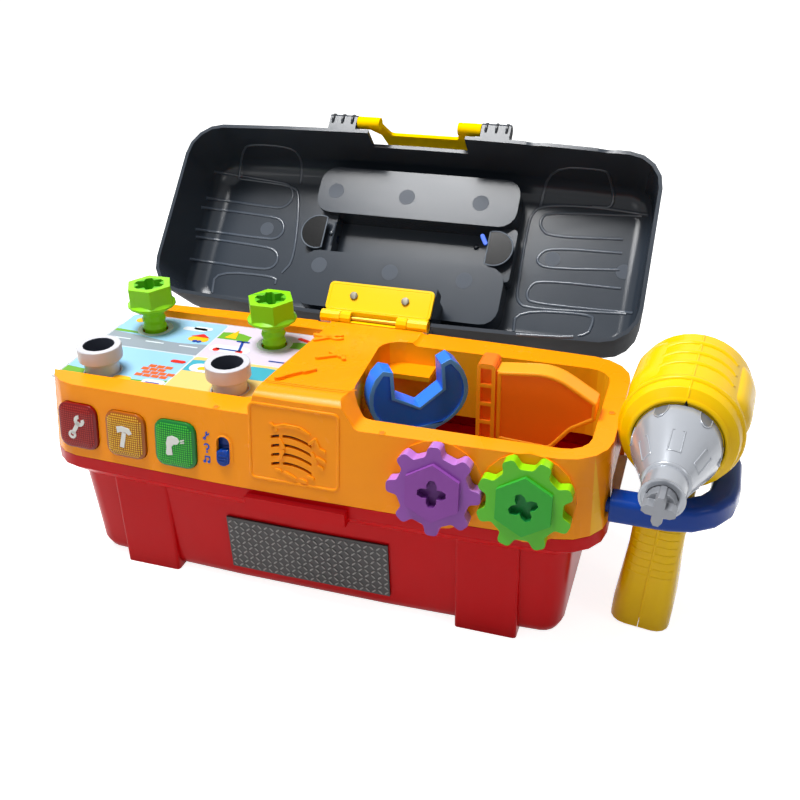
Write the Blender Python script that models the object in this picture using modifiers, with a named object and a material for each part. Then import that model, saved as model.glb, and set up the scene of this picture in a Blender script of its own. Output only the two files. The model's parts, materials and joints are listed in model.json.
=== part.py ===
"""Toy tool set: a pretend-play tool box with an open lid, a picture board with screws and
pegs, two meshing gears, three light buttons, a wrench, a hammer and a drill on its loop.

Metres, +Z up. X runs along the box, -Y is the front with the buttons and +Y is the hinge side.
The origin is on the floor under the middle of the box.
"""

import math

import bmesh
import bpy
from mathutils import Matrix, Vector

# General clearances and mesh fineness
GAP = 0.0003
OVERRUN = 0.02
WELD = 0.000001
SCREW_WELD = 0.00001
ARC_STEPS = 4
ROUND_STEPS = 20
SMALL_STEPS = 10
DRILL_STEPS = 36
SHARP_ANGLE = math.radians(35)

# The case: tub below, tray above, parted at the seam
CASE_LENGTH = 0.335
CASE_DEPTH = 0.126
CASE_CORNER = 0.024
CASE_BOW = 0.0045
SEAM_HEIGHT = 0.078
WALL = 0.0024
SIDE_STEPS = 6

# Tub
LIP_HEIGHT = 0.015
LIP_TAPER = 0.0065
BODY_END_INSET = 0.0165
BODY_FRONT_INSET = 0.0085
BODY_TAPER = 0.0025
BODY_CORNER = 0.012
FLOOR_LIFT = 0.0025
FOOT_RADIUS = 0.012
COLUMN_OFFSET = 0.1065
COLUMN_WIDTH = 0.036
COLUMN_INSET = 0.005
COLUMN_SINK = 0.012
PARTITION_X = 0.016
PARTITION_HEIGHT = 0.066
COLUMN_EDGE = 0.002
LIP_EDGE = 0.007
FLOOR_EDGE = 0.006

# Tray
RIM_HEIGHT = 0.045
FACE_LEAN = 0.0065
END_LEAN = 0.0015
BACK_LEAN = 0.003
BLOCK_HEIGHT = 0.06
BLOCK_BACK_HEIGHT = 0.0462
BLOCK_LEFT = 0.028
BLOCK_RIGHT = 0.034
BLOCK_SLANT_LEFT = 0.004
BLOCK_SLANT_RIGHT = 0.01
BLOCK_FILLET = 0.005
FRONT_FILLET_DEPTH = 0.009
DECK_HEIGHT = 0.0387
CARD_THICKNESS = 0.001
CARD_FRONT_RIM = 0.0195
CARD_BACK_RIM = 0.0115
CARD_END = 0.1665
BLOCK_FRONT_EASE = 0.003
BLOCK_ROOM_LEFT = -0.0216
BLOCK_ROOM_RIGHT = 0.0196
CARD_MARGIN = 0.001
RECESS_CORNER = 0.014

# Compartment through the tray
BAY_LEFT = 0.027
BAY_LEFT_BACK = 0.014
BAY_RIGHT = 0.155
BAY_FRONT_RIM = 0.0155
BAY_BACK_RIM = 0.018
BAY_CORNER = 0.014
SHELF_WIDTH = 0.034
SHELF_DEPTH = 0.016
SHELF_TOP = 0.033
SHELF_THICKNESS = 0.003

# Pieces in the picture card
HOLE_MIDDLE_X = -0.0975
HOLE_SPREAD_X = 0.0425
HOLE_MIDDLE_Y = 0.002
HOLE_SPREAD_Y = 0.031
SCREW_SHANK_RADIUS = 0.0078
SCREW_FLANGE_RADIUS = 0.0155
SCREW_HEX_RADIUS = 0.0151
SCREW_HEX_HEIGHT = 0.0128
SCREW_FLANGE_HEIGHT = 0.0026
SCREW_FLANGE_EASE = 0.0018
SCREW_NECK = 0.0162
SCREW_TAIL = 0.012
SCREW_THREAD_DEPTH = 0.0011
SCREW_THREAD_PITCH = 0.0055
SOCKET_RADIUS = 0.0098
SOCKET_WAIST = 0.0064
SOCKET_DEPTH = 0.0095
PEG_BODY_RADIUS = 0.0102
PEG_RING_RADIUS = 0.0132
PEG_RING_HEIGHT = 0.0088
PEG_BORE_RADIUS = 0.0092
PEG_BORE_DEPTH = 0.014
PEG_STAND = 0.0176
PEG_TAIL = 0.011

# Front controls on the leaning face
BUTTON_WIDTH = 0.026
BUTTON_HEIGHT = 0.028
BUTTON_CORNER = 0.006
BUTTON_FIRST_X = -0.1389
BUTTON_PITCH = 0.0326
BUTTON_MIDDLE = 0.0202
BUTTON_PROUD = 0.0016
BUTTON_CROWN = 0.0014
BUTTON_CROWN_INSET = 0.0045
BUTTON_FLANGE = 0.0011
BUTTON_TAB = 0.0045
BUTTON_FLANGE_THICKNESS = 0.0015
LAMP_RADIUS = 0.0025
LAMP_LENGTH = 0.006
SLOT_X = -0.0438
SLOT_WIDTH = 0.0084
SLOT_LOW = 0.0125
SLOT_HIGH = 0.0295
KNOB_PROUD = 0.001
SLIDER_PLATE_HEIGHT = 0.012
SLIDER_PLATE_WIDTH = 0.013
SLIDER_PLATE_THICKNESS = 0.0015
SWITCH_DEPTH = 0.006
SWITCH_ROOM = 0.0012
GRILLE_X = -0.0016
GRILLE_DROP = 0.0325
GRILLE_SLOT = 0.0018
GRILLE_ROWS = 4
GRILLE_BAR = 0.0036
GRILLE_ARCH = 0.028
GRILLE_APEX = 0.0035
GRILLE_DASH_START = 0.013
GRILLE_DASH_END = 0.008
GRILLE_SLOT_START = 0.006
GRILLE_SLOT_END = 0.011
SPEAKER_RADIUS = 0.0185
SPEAKER_DEPTH = 0.012
SPEAKER_MAGNET_RADIUS = 0.01
BOARD_POST_RADIUS = 0.0017
BOARD_DEPTH_BEHIND = 0.0165
BOARD_EXTRA = 0.024
KNOB_HEIGHT = 0.0085

# Gears
GEAR_LEFT_X = 0.0800
GEAR_SPACING = 0.0476
GEAR_HEIGHT = 0.0212
GEAR_TEETH = 8
GEAR_TIP = 0.0253
GEAR_ROOT = 0.0195
GEAR_TOOTH_TOP = 0.0032
GEAR_TOOTH_FOOT = 0.0043
GEAR_THICKNESS = 0.0082
GEAR_HUB = 0.0165
GEAR_HUB_HEIGHT = 0.0026
GEAR_CROSS_REACH = 0.008
GEAR_CROSS_LOBE = 0.0027
GEAR_CROSS_DEPTH = 0.0045
GEAR_BOSS = 0.0252
AXLE_RADIUS = 0.0035
GEAR_BORE_DEPTH = 0.0055
GEAR_BOSS_PROUD = 0.0006
GEAR_OFFSET = 0.0012
GEAR_TOOTH_ROUND = 0.0024

# Front plate and latch keeper
LABEL_WIDTH = 0.1
LABEL_HEIGHT = 0.037
LABEL_TOP = 0.0285
LABEL_THICKNESS = 0.0012
KEEPER_WIDTH = 0.06
KEEPER_TOP = 0.0025
KEEPER_BOTTOM = 0.0115
KEEPER_PROUD = 0.0042

# Drill loop on the right end
LOOP_MIDDLE_Y = -0.002
LOOP_HALF_DEPTH = 0.0385
LOOP_REACH = 0.057
LOOP_CORNER = 0.027
LOOP_RADIUS = 0.0075
LOOP_HEIGHT = 0.0108
LOOP_TAIL = 0.004
LOOP_PEG = 0.004

# Spare card in its slot at the right end
SPARE_DEPTH = 0.056
SPARE_PROUD = 0.0022
NOTCH_HEIGHT = 0.02
NOTCH_DEPTH = 0.0575
NOTCH_DEEP = 0.0097

# Hinge
PIVOT_SETBACK = 0.0045
PIVOT_HEIGHT = 0.0477
LID_ANGLE = math.radians(134.2)
PIN_RADIUS = 0.0015
BARREL_RADIUS = 0.0043
BARREL_HALF = 0.036
KNUCKLE_HALF = 0.0225
WINDOW_HALF = 0.0155
BRACKET_DROP = 0.012
LEAF_REACH = 0.0245
LEAF_THICKNESS = 0.0022
LEAF_LIFT = 0.0006
LEAF_CORNER = 0.003
LEAF_PAD = 0.012
HINGE_SCREW_X = 0.0175
HINGE_SCREW_REACH = 0.0155
HINGE_SCREW_HEAD = 0.0026
HINGE_SCREW_HEAD_HEIGHT = 0.001
HINGE_SCREW_SHANK = 0.0012
HINGE_SCREW_LENGTH = 0.009
BRACKET_SETBACK = -0.0013
LEAF_SEAT = 0.0031
HINGE_BOSS = 0.011

# Lid, in its own frame: y runs back from the front edge to the pivot, z up when closed
LID_HALF = 0.1655
LID_BACK = 0.0045
LID_CORNER = 0.023
LID_RIM = 0.0009
LID_HEIGHT = 0.05
LID_SKIN = 0.0024
LID_DRAFT = 0.003
LID_SHOULDER = 0.012
LID_SHOULDER_INSET = 0.0125
LID_SHOULDER_STEPS = 4
LID_NOTCH_HALF = 0.034
LID_NOTCH_HEIGHT = 0.0165
HINGE_CLEAR_HALF = 0.0375
HINGE_CLEAR_BACK = 0.0065
HINGE_CLEAR_HEIGHT = 0.006
BAR_HALF = 0.0695
BAR_DEPTH = 0.0285
BAR_CORNER = 0.009
BAR_NEAR_OUTER = 0.0495
BAR_NEAR_INNER = 0.0135
BAR_FAR_INNER = 0.0205
BAR_FAR_OUTER = 0.0505
POCKET_REACH = 0.0715
POCKET_WIDTH = 0.0265
POCKET_INNER = 0.0575
POCKET_OVERLAP = 0.003

# Carry handle
HANDLE_OFFSET = 0.004
HANDLE_TRUNNION_HALF = 0.0735
HANDLE_TRUNNION_RADIUS = 0.0028
HANDLE_BAR_HALF = 0.058
HANDLE_BAR_WIDTH = 0.0105
HANDLE_THICKNESS = 0.0062
HANDLE_ARM = 0.0335
HANDLE_ARM_WIDTH = 0.0066
HANDLE_Z = 0.043
HANDLE_CLEAR = 0.0034

# Latch
LATCH_SETBACK = 0.0113
LUG_BEND_SHARE = 0.9
LUG_TOE_SHARE = 0.6
LATCH_PIVOT_HEIGHT = 0.0028
LATCH_BARREL_RADIUS = 0.0042
LATCH_BARREL_INNER = 0.0275
LATCH_BARREL_OUTER = 0.0435
LATCH_LUG_OUTER = 0.0635
LATCH_HALF = 0.0315
LATCH_LENGTH = 0.0585
LATCH_THICKNESS = 0.0024
LATCH_SWING = math.radians(173)
LATCH_PIN_RADIUS = 0.0014
LATCH_LUG_TOP = 0.008
LATCH_PIN_HALF = 0.03
LATCH_PIN_MIDDLE = 0.0445
LATCH_NECK = 0.0165
LATCH_NECK_INNER = 0.024

# Wrench
WRENCH_X = 0.0514
WRENCH_Y = -0.0071
WRENCH_THICKNESS = 0.012
WRENCH_TILT = math.radians(3)
WRENCH_YAW = math.radians(33)
WRENCH_RADIUS = 0.0292
WRENCH_BELLY = 0.0235
WRENCH_JAW_HALF = 0.0138
WRENCH_JAW_DEPTH = 0.0024
WRENCH_JAW_VALLEY = 0.0088
WRENCH_JAW_TIP = 0.0242
WRENCH_HANDLE_HALF = 0.0085
WRENCH_RIM = 0.0022
WRENCH_RECESS = 0.0015
WRENCH_HEIGHT = 0.0426
WRENCH_JAW_LIFT = 0.0184
WRENCH_TIP_CORNER = 0.0195
WRENCH_TIP_RISE = 0.0023

# Hammer
HAMMER_X = 0.0935
HAMMER_Y = -0.008
HAMMER_FACE_WIDTH = 0.0105
HAMMER_FACE_HEIGHT = 0.0495
HAMMER_FACE_THICKNESS = 0.014
HAMMER_HEAD_THICKNESS = 0.0115
HAMMER_TOP = 0.0705
HAMMER_REACH = 0.0598
HAMMER_RIM = 0.0022
HAMMER_GRIP_X = 0.0215
HAMMER_GRIP_RADIUS = 0.0085
HAMMER_GRIP_END = 0.0104
HAMMER_SOCKET_DEPTH = 0.016
HAMMER_EDGE = 0.003
HAMMER_CLAW_X = 0.0475
HAMMER_CLAW_LOW = 0.0365
HAMMER_CLAW_BEND = 0.012
HAMMER_TIP_LOW = 0.0445
HAMMER_TIP_HIGH = 0.0545
HAMMER_BELLY_X = 0.0365
HAMMER_BELLY_Z = 0.0222
HAMMER_BELLY_BEND = 0.006
HAMMER_CROWN_X = 0.036
HAMMER_CROWN_Z = 0.069
HAMMER_CROWN_BEND = 0.03
HAMMER_NAPE = 0.0045
HAMMER_TENON = 0.0042
POCKET_SHARES = (0.04, 0.27, 0.5, 0.73)
POCKET_STEP_SHARE = 0.23

# Drill
DRILL_X = 0.199
DRILL_HEIGHT = 0.0501
DRILL_RADIUS = 0.0315
DRILL_NOSE_Y = -0.034
DRILL_TAIL_Y = 0.0365
DRILL_SKIN = 0.0022
DRILL_NOSE_LENGTH = 0.013
DRILL_WAIST = 0.0295
DRILL_MOUTH = 0.0228
GRIP_FRONT_Y = -0.0305
GRIP_BACK_Y = 0.0075
GRIP_HALF_TOP = 0.0142
GRIP_HALF_END = 0.0166
GRIP_LOW = -0.0767
GRIP_BLEND = 0.012
GRIP_CORNER = 0.009
CHUCK_RADIUS = 0.0219
CHUCK_NECK = 0.0115
CHUCK_LENGTH = 0.038
COLLAR_RADIUS = 0.0106
COLLAR_LENGTH = 0.0145
BIT_PRONG_REACH = 0.0088
BIT_PRONG_RADIUS = 0.0026
BIT_LENGTH = 0.0115
BIT_BORE = 0.0072
SPINDLE_RADIUS = 0.003
GEARBOX_RADIUS = 0.0165
GEARBOX_LENGTH = 0.018
MOTOR_RADIUS = 0.012
MOTOR_LENGTH = 0.03
TRIGGER_HIGH = 0.0165
TRIGGER_LOW = -0.0045
TRIGGER_HALF = 0.0055
TRIGGER_PROUD = 0.0013
TRIGGER_DEPTH = 0.006
CELL_RADIUS = 0.0052
CELL_LENGTH = 0.0445
END_CAP_RADIUS = 0.0215
END_CAP_THICKNESS = 0.003
DRILL_LEAN = math.radians(4)
DRILL_YAW = math.radians(3)
GRIP_TOP_DROP = 0.02
GRIP_SET = 0.003
BIT_BORE_RADIUS = 0.0075
SWITCH_GAP = 0.0035

# Battery box and circuit board in the tub
BOX_X = -0.075
BOX_Y = 0.004
BOX_LENGTH = 0.058
BOX_WIDTH = 0.048
BOX_HEIGHT = 0.0185
DOOR_THICKNESS = 0.002
AA_RADIUS = 0.00715
AA_LENGTH = 0.0495
AA_PITCH = 0.0149
BOARD_THICKNESS = 0.0016
CASE_SCREW_RADIUS = 0.0017
CASE_SCREW_HEAD = 0.003
CASE_SCREW_LENGTH = 0.012
POST_RADIUS = 0.0034
END_SCREW_X = 0.1544
END_SCREW_INSET = 0.027
COLUMN_SCREW_X = 0.117
COLUMN_SCREW_INSET = 0.0108
COLUMN_SCREW_SEAT = 0.005
DOOR_SCREW_INSET = 0.0035
DOOR_SCREW_LENGTH = 0.003

# Derived places
HALF_LENGTH = CASE_LENGTH / 2
HALF_DEPTH = CASE_DEPTH / 2
PIVOT_Y = HALF_DEPTH + PIVOT_SETBACK
CARD_FRONT = HALF_DEPTH - CARD_FRONT_RIM
CARD_BACK = HALF_DEPTH - CARD_BACK_RIM
BAY_FRONT = HALF_DEPTH - BAY_FRONT_RIM
BAY_BACK = HALF_DEPTH - BAY_BACK_RIM
END_SCREW_Y = HALF_DEPTH - END_SCREW_INSET
COLUMN_SCREW_Y = HALF_DEPTH - COLUMN_SCREW_INSET
LID_FRONT = HALF_DEPTH + PIVOT_Y
LID_MIDDLE = (LID_FRONT + LID_BACK) / 2
BAR_NEAR_LOW = LID_MIDDLE - BAR_NEAR_OUTER
BAR_NEAR_HIGH = LID_MIDDLE - BAR_NEAR_INNER
BAR_FAR_LOW = LID_MIDDLE + BAR_FAR_INNER
BAR_FAR_HIGH = LID_MIDDLE + BAR_FAR_OUTER
HANDLE_PIVOT_REACH = LID_MIDDLE + HANDLE_OFFSET
LATCH_PIVOT_REACH = LID_FRONT + LATCH_SETBACK
GRILLE_HEIGHT = BLOCK_HEIGHT - GRILLE_DROP
FACE_ANGLE = math.atan2(FACE_LEAN, RIM_HEIGHT)
DECK_TOP = SEAM_HEIGHT + DECK_HEIGHT
CARD_TOP = DECK_TOP + GAP + CARD_THICKNESS
PIVOT = Vector((0, PIVOT_Y, SEAM_HEIGHT + PIVOT_HEIGHT))
FLOOR_TOP = FLOOR_LIFT + WALL
DRILL_AXIS_Z = SEAM_HEIGHT + DRILL_HEIGHT

COLOURS = {
    "tub_red": ((0.43, 0.012, 0.018), 0.35, 0),
    "tray_orange": ((0.9, 0.36, 0.01), 0.35, 0),
    "lid_grey": ((0.03, 0.042, 0.055), 0.3, 0),
    "bright_yellow": ((0.86, 0.66, 0.01), 0.35, 0),
    "tool_blue": ((0.03, 0.08, 0.33), 0.35, 0),
    "hammer_orange": ((0.76, 0.14, 0.01), 0.38, 0),
    "gear_purple": ((0.19, 0.05, 0.27), 0.35, 0),
    "gear_green": ((0.03, 0.33, 0.03), 0.35, 0),
    "screw_green": ((0.27, 0.6, 0.015), 0.4, 0),
    "peg_grey": ((0.6, 0.56, 0.53), 0.4, 0),
    "dark_plastic": ((0.03, 0.035, 0.04), 0.5, 0),
    "plate_grey": ((0.16, 0.16, 0.155), 0.4, 0.4),
    "card_print": ((0.6, 0.68, 0.62), 0.5, 0),
    "button_red": ((0.33, 0.012, 0.018), 0.2, 0),
    "button_amber": ((0.5, 0.24, 0.02), 0.2, 0),
    "button_green": ((0.01, 0.25, 0.04), 0.2, 0),
    "steel": ((0.6, 0.6, 0.6), 0.3, 1),
    "chuck_silver": ((0.6, 0.61, 0.63), 0.32, 0.6),
    "board_green": ((0.02, 0.16, 0.06), 0.5, 0),
    "cell_black": ((0.02, 0.02, 0.02), 0.4, 0),
}


def clear_scene():
    for item in list(bpy.data.objects):
        bpy.data.objects.remove(item, do_unlink=True)


def make_collection(name):
    group = bpy.data.collections.new(name)
    bpy.context.scene.collection.children.link(group)
    return group


def material(name):
    found = bpy.data.materials.get(name)
    if found:
        return found
    colour, roughness, metallic = COLOURS[name]
    made = bpy.data.materials.new(name)
    made.use_nodes = True
    shader = made.node_tree.nodes["Principled BSDF"]
    shader.inputs["Base Color"].default_value = (*colour, 1)
    shader.inputs["Roughness"].default_value = roughness
    shader.inputs["Metallic"].default_value = metallic
    return made


def combine(target, other, operation):
    modifier = target.modifiers.new(operation.lower() + "_" + other.name, "BOOLEAN")
    modifier.operation = operation
    modifier.object = other
    modifier.solver = "EXACT"


def cut(target, *others):
    for other in others:
        combine(target, other, "DIFFERENCE")


def join(target, *others):
    for other in others:
        combine(target, other, "UNION")


def smooth(mesh):
    mesh.shade_smooth()
    mesh.set_sharp_from_angle(angle=SHARP_ANGLE)
    return mesh


def box_mesh(low, high):
    """A box between two corners, from the cube primitive."""
    mesh = bpy.data.meshes.new("box")
    work = bmesh.new()
    bmesh.ops.create_cube(work, size=1)
    size = Vector(high) - Vector(low)
    middle = (Vector(high) + Vector(low)) / 2
    bmesh.ops.transform(
        work, matrix=Matrix.Translation(middle) @ Matrix.Diagonal((*size, 1)), verts=work.verts,
    )
    work.to_mesh(mesh)
    work.free()
    return mesh


def rounded(corners, steps=ARC_STEPS):
    """Outline with each corner (x, y, radius) turned into an arc."""
    points = []
    count = len(corners)
    for index, (x, y, radius) in enumerate(corners):
        here = Vector((x, y))
        before = (Vector(corners[index - 1][:2]) - here).normalized()
        after = (Vector(corners[(index + 1) % count][:2]) - here).normalized()
        if not radius:
            points.append(here)
            continue
        half_angle = before.angle(after) / 2
        bisector = (before + after).normalized()
        centre = here + bisector * (radius / math.sin(half_angle))
        start = here + before * (radius / math.tan(half_angle)) - centre
        sweep = math.pi - 2 * half_angle
        side = -1 if before.cross(after) < 0 else 1
        for step in range(steps + 1):
            turn = side * -sweep * step / steps
            points.append(centre + Matrix.Rotation(turn, 2) @ start)
    return points


def rectangle(low_x, high_x, low_y, high_y, radius, steps=ARC_STEPS):
    corners = ((low_x, low_y), (high_x, low_y), (high_x, high_y), (low_x, high_y))
    return rounded([(x, y, radius) for x, y in corners], steps)


def circle(radius, steps=ROUND_STEPS, centre=(0, 0), phase=0):
    turns = (phase + 2 * math.pi * step / steps for step in range(steps))
    return [
        Vector((centre[0] + radius * math.cos(turn), centre[1] + radius * math.sin(turn))) for turn in turns
    ]


def prism(outlines, low, high):
    """Flat outlines, holes included, filled and extruded from low to high along Z."""
    curve = bpy.data.curves.new("outline", "CURVE")
    curve.dimensions = "2D"
    curve.fill_mode = "BOTH"
    curve.extrude = (high - low) / 2
    for outline in outlines:
        spline = curve.splines.new("POLY")
        spline.points.add(len(outline) - 1)
        for point, (x, y) in zip(spline.points, outline):
            point.co = (x, y, 0, 1)
        spline.use_cyclic_u = True
    holder = bpy.data.objects.new("outline", curve)
    bpy.context.scene.collection.objects.link(holder)
    graph = bpy.context.evaluated_depsgraph_get()
    mesh = bpy.data.meshes.new_from_object(holder.evaluated_get(graph))
    bpy.data.objects.remove(holder, do_unlink=True)
    work = bmesh.new()
    work.from_mesh(mesh)
    bmesh.ops.remove_doubles(work, verts=work.verts, dist=WELD)
    bmesh.ops.translate(work, verts=work.verts, vec=(0, 0, (high + low) / 2))
    bmesh.ops.recalc_face_normals(work, faces=work.faces)
    work.to_mesh(mesh)
    work.free()
    return mesh


def upright(mesh):
    """Turn a mesh drawn in X and Y so that its Y becomes up and its Z runs to the front."""
    mesh.transform(Matrix.Rotation(math.radians(90), 4, "X"))
    return mesh


def loft(rings):
    """Closed solid through rings of equal count, with a cap on the first and last ring."""
    mesh = bpy.data.meshes.new("loft")
    work = bmesh.new()
    rows = [[work.verts.new(point) for point in ring] for ring in rings]
    count = len(rows[0])
    for row, following in zip(rows, rows[1:]):
        for index in range(count):
            after = (index + 1) % count
            work.faces.new((row[index], row[after], following[after], following[index]))
    work.faces.new(list(reversed(rows[0])))
    work.faces.new(rows[-1])
    bmesh.ops.recalc_face_normals(work, faces=work.faces)
    work.to_mesh(mesh)
    work.free()
    return mesh


def turned(name, profile, steps=ROUND_STEPS):
    """A profile of (radius, height) turned about Z; it runs down its outer side."""
    mesh = bpy.data.meshes.new(name)
    closed = profile[0][0] > 0
    edges = [(index, index + 1) for index in range(len(profile) - 1)]
    if closed:
        edges.append((len(profile) - 1, 0))
    mesh.from_pydata([(radius, 0, height) for radius, height in profile], edges, [])
    holder = bpy.data.objects.new(name, mesh)
    bpy.context.scene.collection.objects.link(holder)
    modifier = holder.modifiers.new("turn", "SCREW")
    modifier.axis = "Z"
    modifier.angle = 2 * math.pi
    modifier.steps = steps
    modifier.render_steps = steps
    modifier.use_merge_vertices = True
    modifier.merge_threshold = SCREW_WELD
    graph = bpy.context.evaluated_depsgraph_get()
    made = bpy.data.meshes.new_from_object(holder.evaluated_get(graph))
    bpy.data.objects.remove(holder, do_unlink=True)
    work = bmesh.new()
    work.from_mesh(made)
    bmesh.ops.remove_doubles(work, verts=work.verts, dist=WELD)
    bmesh.ops.recalc_face_normals(work, faces=work.faces)
    work.to_mesh(made)
    work.free()
    return smooth(made)


def ring(outline, height):
    return [(x, y, height) for x, y in outline]


def sideways(mesh):
    """Turn a mesh drawn in X and Y so that its X runs back, its Y up and its Z to the right."""
    mesh.transform(Matrix(((0, 0, 1, 0), (1, 0, 0, 0), (0, 1, 0, 0), (0, 0, 0, 1))))
    return mesh


def moved(mesh, *place):
    mesh.transform(Matrix.Translation(place))
    return mesh


def placed(mesh, frame):
    mesh.transform(frame)
    return mesh


def together(*meshes):
    """One mesh out of several that don't touch."""
    work = bmesh.new()
    for mesh in meshes:
        work.from_mesh(mesh)
    made = bpy.data.meshes.new("group")
    work.to_mesh(made)
    work.free()
    return made


def set_frame(item, frame):
    item.location = frame.to_translation()
    item.rotation_euler = frame.to_euler()


def piece(name, mesh, slot, frame=None):
    """Link a mesh as a named sub-part in its frame."""
    mesh.name = name
    mesh.materials.clear()
    mesh.materials.append(material(slot))
    item = bpy.data.objects.new(name, mesh)
    PARTS.objects.link(item)
    if frame:
        set_frame(item, frame)
    return item


def cutter(name, mesh, frame=None):
    """Link a mesh as a shape that the pieces are cut or joined with."""
    item = bpy.data.objects.new("cut_" + name, mesh)
    CUTTERS.objects.link(item)
    if frame:
        set_frame(item, frame)
    item.hide_render = True
    item.display_type = "WIRE"
    return item


def plan(half, front, back, corner, bow=CASE_BOW):
    """Outline seen from above: a rounded rectangle whose long sides bulge by the bow."""
    corners = rectangle(-half, half, front, back, corner)
    run = ARC_STEPS + 1
    middle = (front + back) / 2
    reach = (back - front) / 2
    points = []
    for index, point in enumerate(corners):
        points.append(point)
        if index in (run - 1, 3 * run - 1):
            following = corners[index + 1]
            points.extend(point.lerp(following, step / SIDE_STEPS) for step in range(1, SIDE_STEPS))
    for point in points:
        point.y += bow * (1 - (point.x / half) ** 2) * (point.y - middle) / reach
    return points


def tray_plan(height, inset=0):
    """Outline of the tray at a height above the seam; the front leans back."""
    share = height / RIM_HEIGHT
    half = HALF_LENGTH - END_LEAN * share - inset
    front = -HALF_DEPTH + FACE_LEAN * share + inset
    back = HALF_DEPTH - BACK_LEAN * share - inset
    return plan(half, front, back, CASE_CORNER - inset)


def bulge_at(x):
    return CASE_BOW * (1 - (x / HALF_LENGTH) ** 2)


def face_frame(x, height, reach=0):
    """Frame on the leaning front: X along it, Y up it and Z out of it."""
    y = -HALF_DEPTH + FACE_LEAN * height / RIM_HEIGHT - bulge_at(x)
    yaw = math.atan(2 * CASE_BOW * x / HALF_LENGTH ** 2)
    place = Matrix.Translation((x, y, SEAM_HEIGHT + height))
    turn = Matrix.Rotation(yaw, 4, "Z") @ Matrix.Rotation(math.pi / 2 - FACE_ANGLE, 4, "X")
    return place @ turn @ Matrix.Translation((0, 0, reach))


def case_screw_places():
    """Places of the case screws: through the end ledge on the left, up the columns on the right."""
    left = [(-END_SCREW_X, along * END_SCREW_Y, 0) for along in (-1, 1)]
    return left + [(COLUMN_SCREW_X, along * COLUMN_SCREW_Y, COLUMN_SCREW_SEAT) for along in (-1, 1)]


def card_holes(radius):
    """Outlines of the four holes of the picture card, screws at the back."""
    holes = []
    for side in (-1, 1):
        for along, fit in ((-1, PEG_BODY_RADIUS), (1, SCREW_SHANK_RADIUS)):
            centre = (HOLE_MIDDLE_X + side * HOLE_SPREAD_X, HOLE_MIDDLE_Y + along * HOLE_SPREAD_Y)
            holes.append(circle(fit + radius, ROUND_STEPS, centre))
    return holes


def bay_outline(grow=0):
    corners = (
        (BAY_LEFT - grow, -BAY_FRONT - grow, BAY_CORNER + grow),
        (BAY_RIGHT + grow, -BAY_FRONT - grow, BAY_CORNER + grow),
        (BAY_RIGHT + grow, BAY_BACK + grow, BAY_CORNER + grow),
        (BAY_LEFT_BACK - grow, BAY_BACK + grow, BAY_CORNER + grow),
    )
    return rounded(corners)


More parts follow.
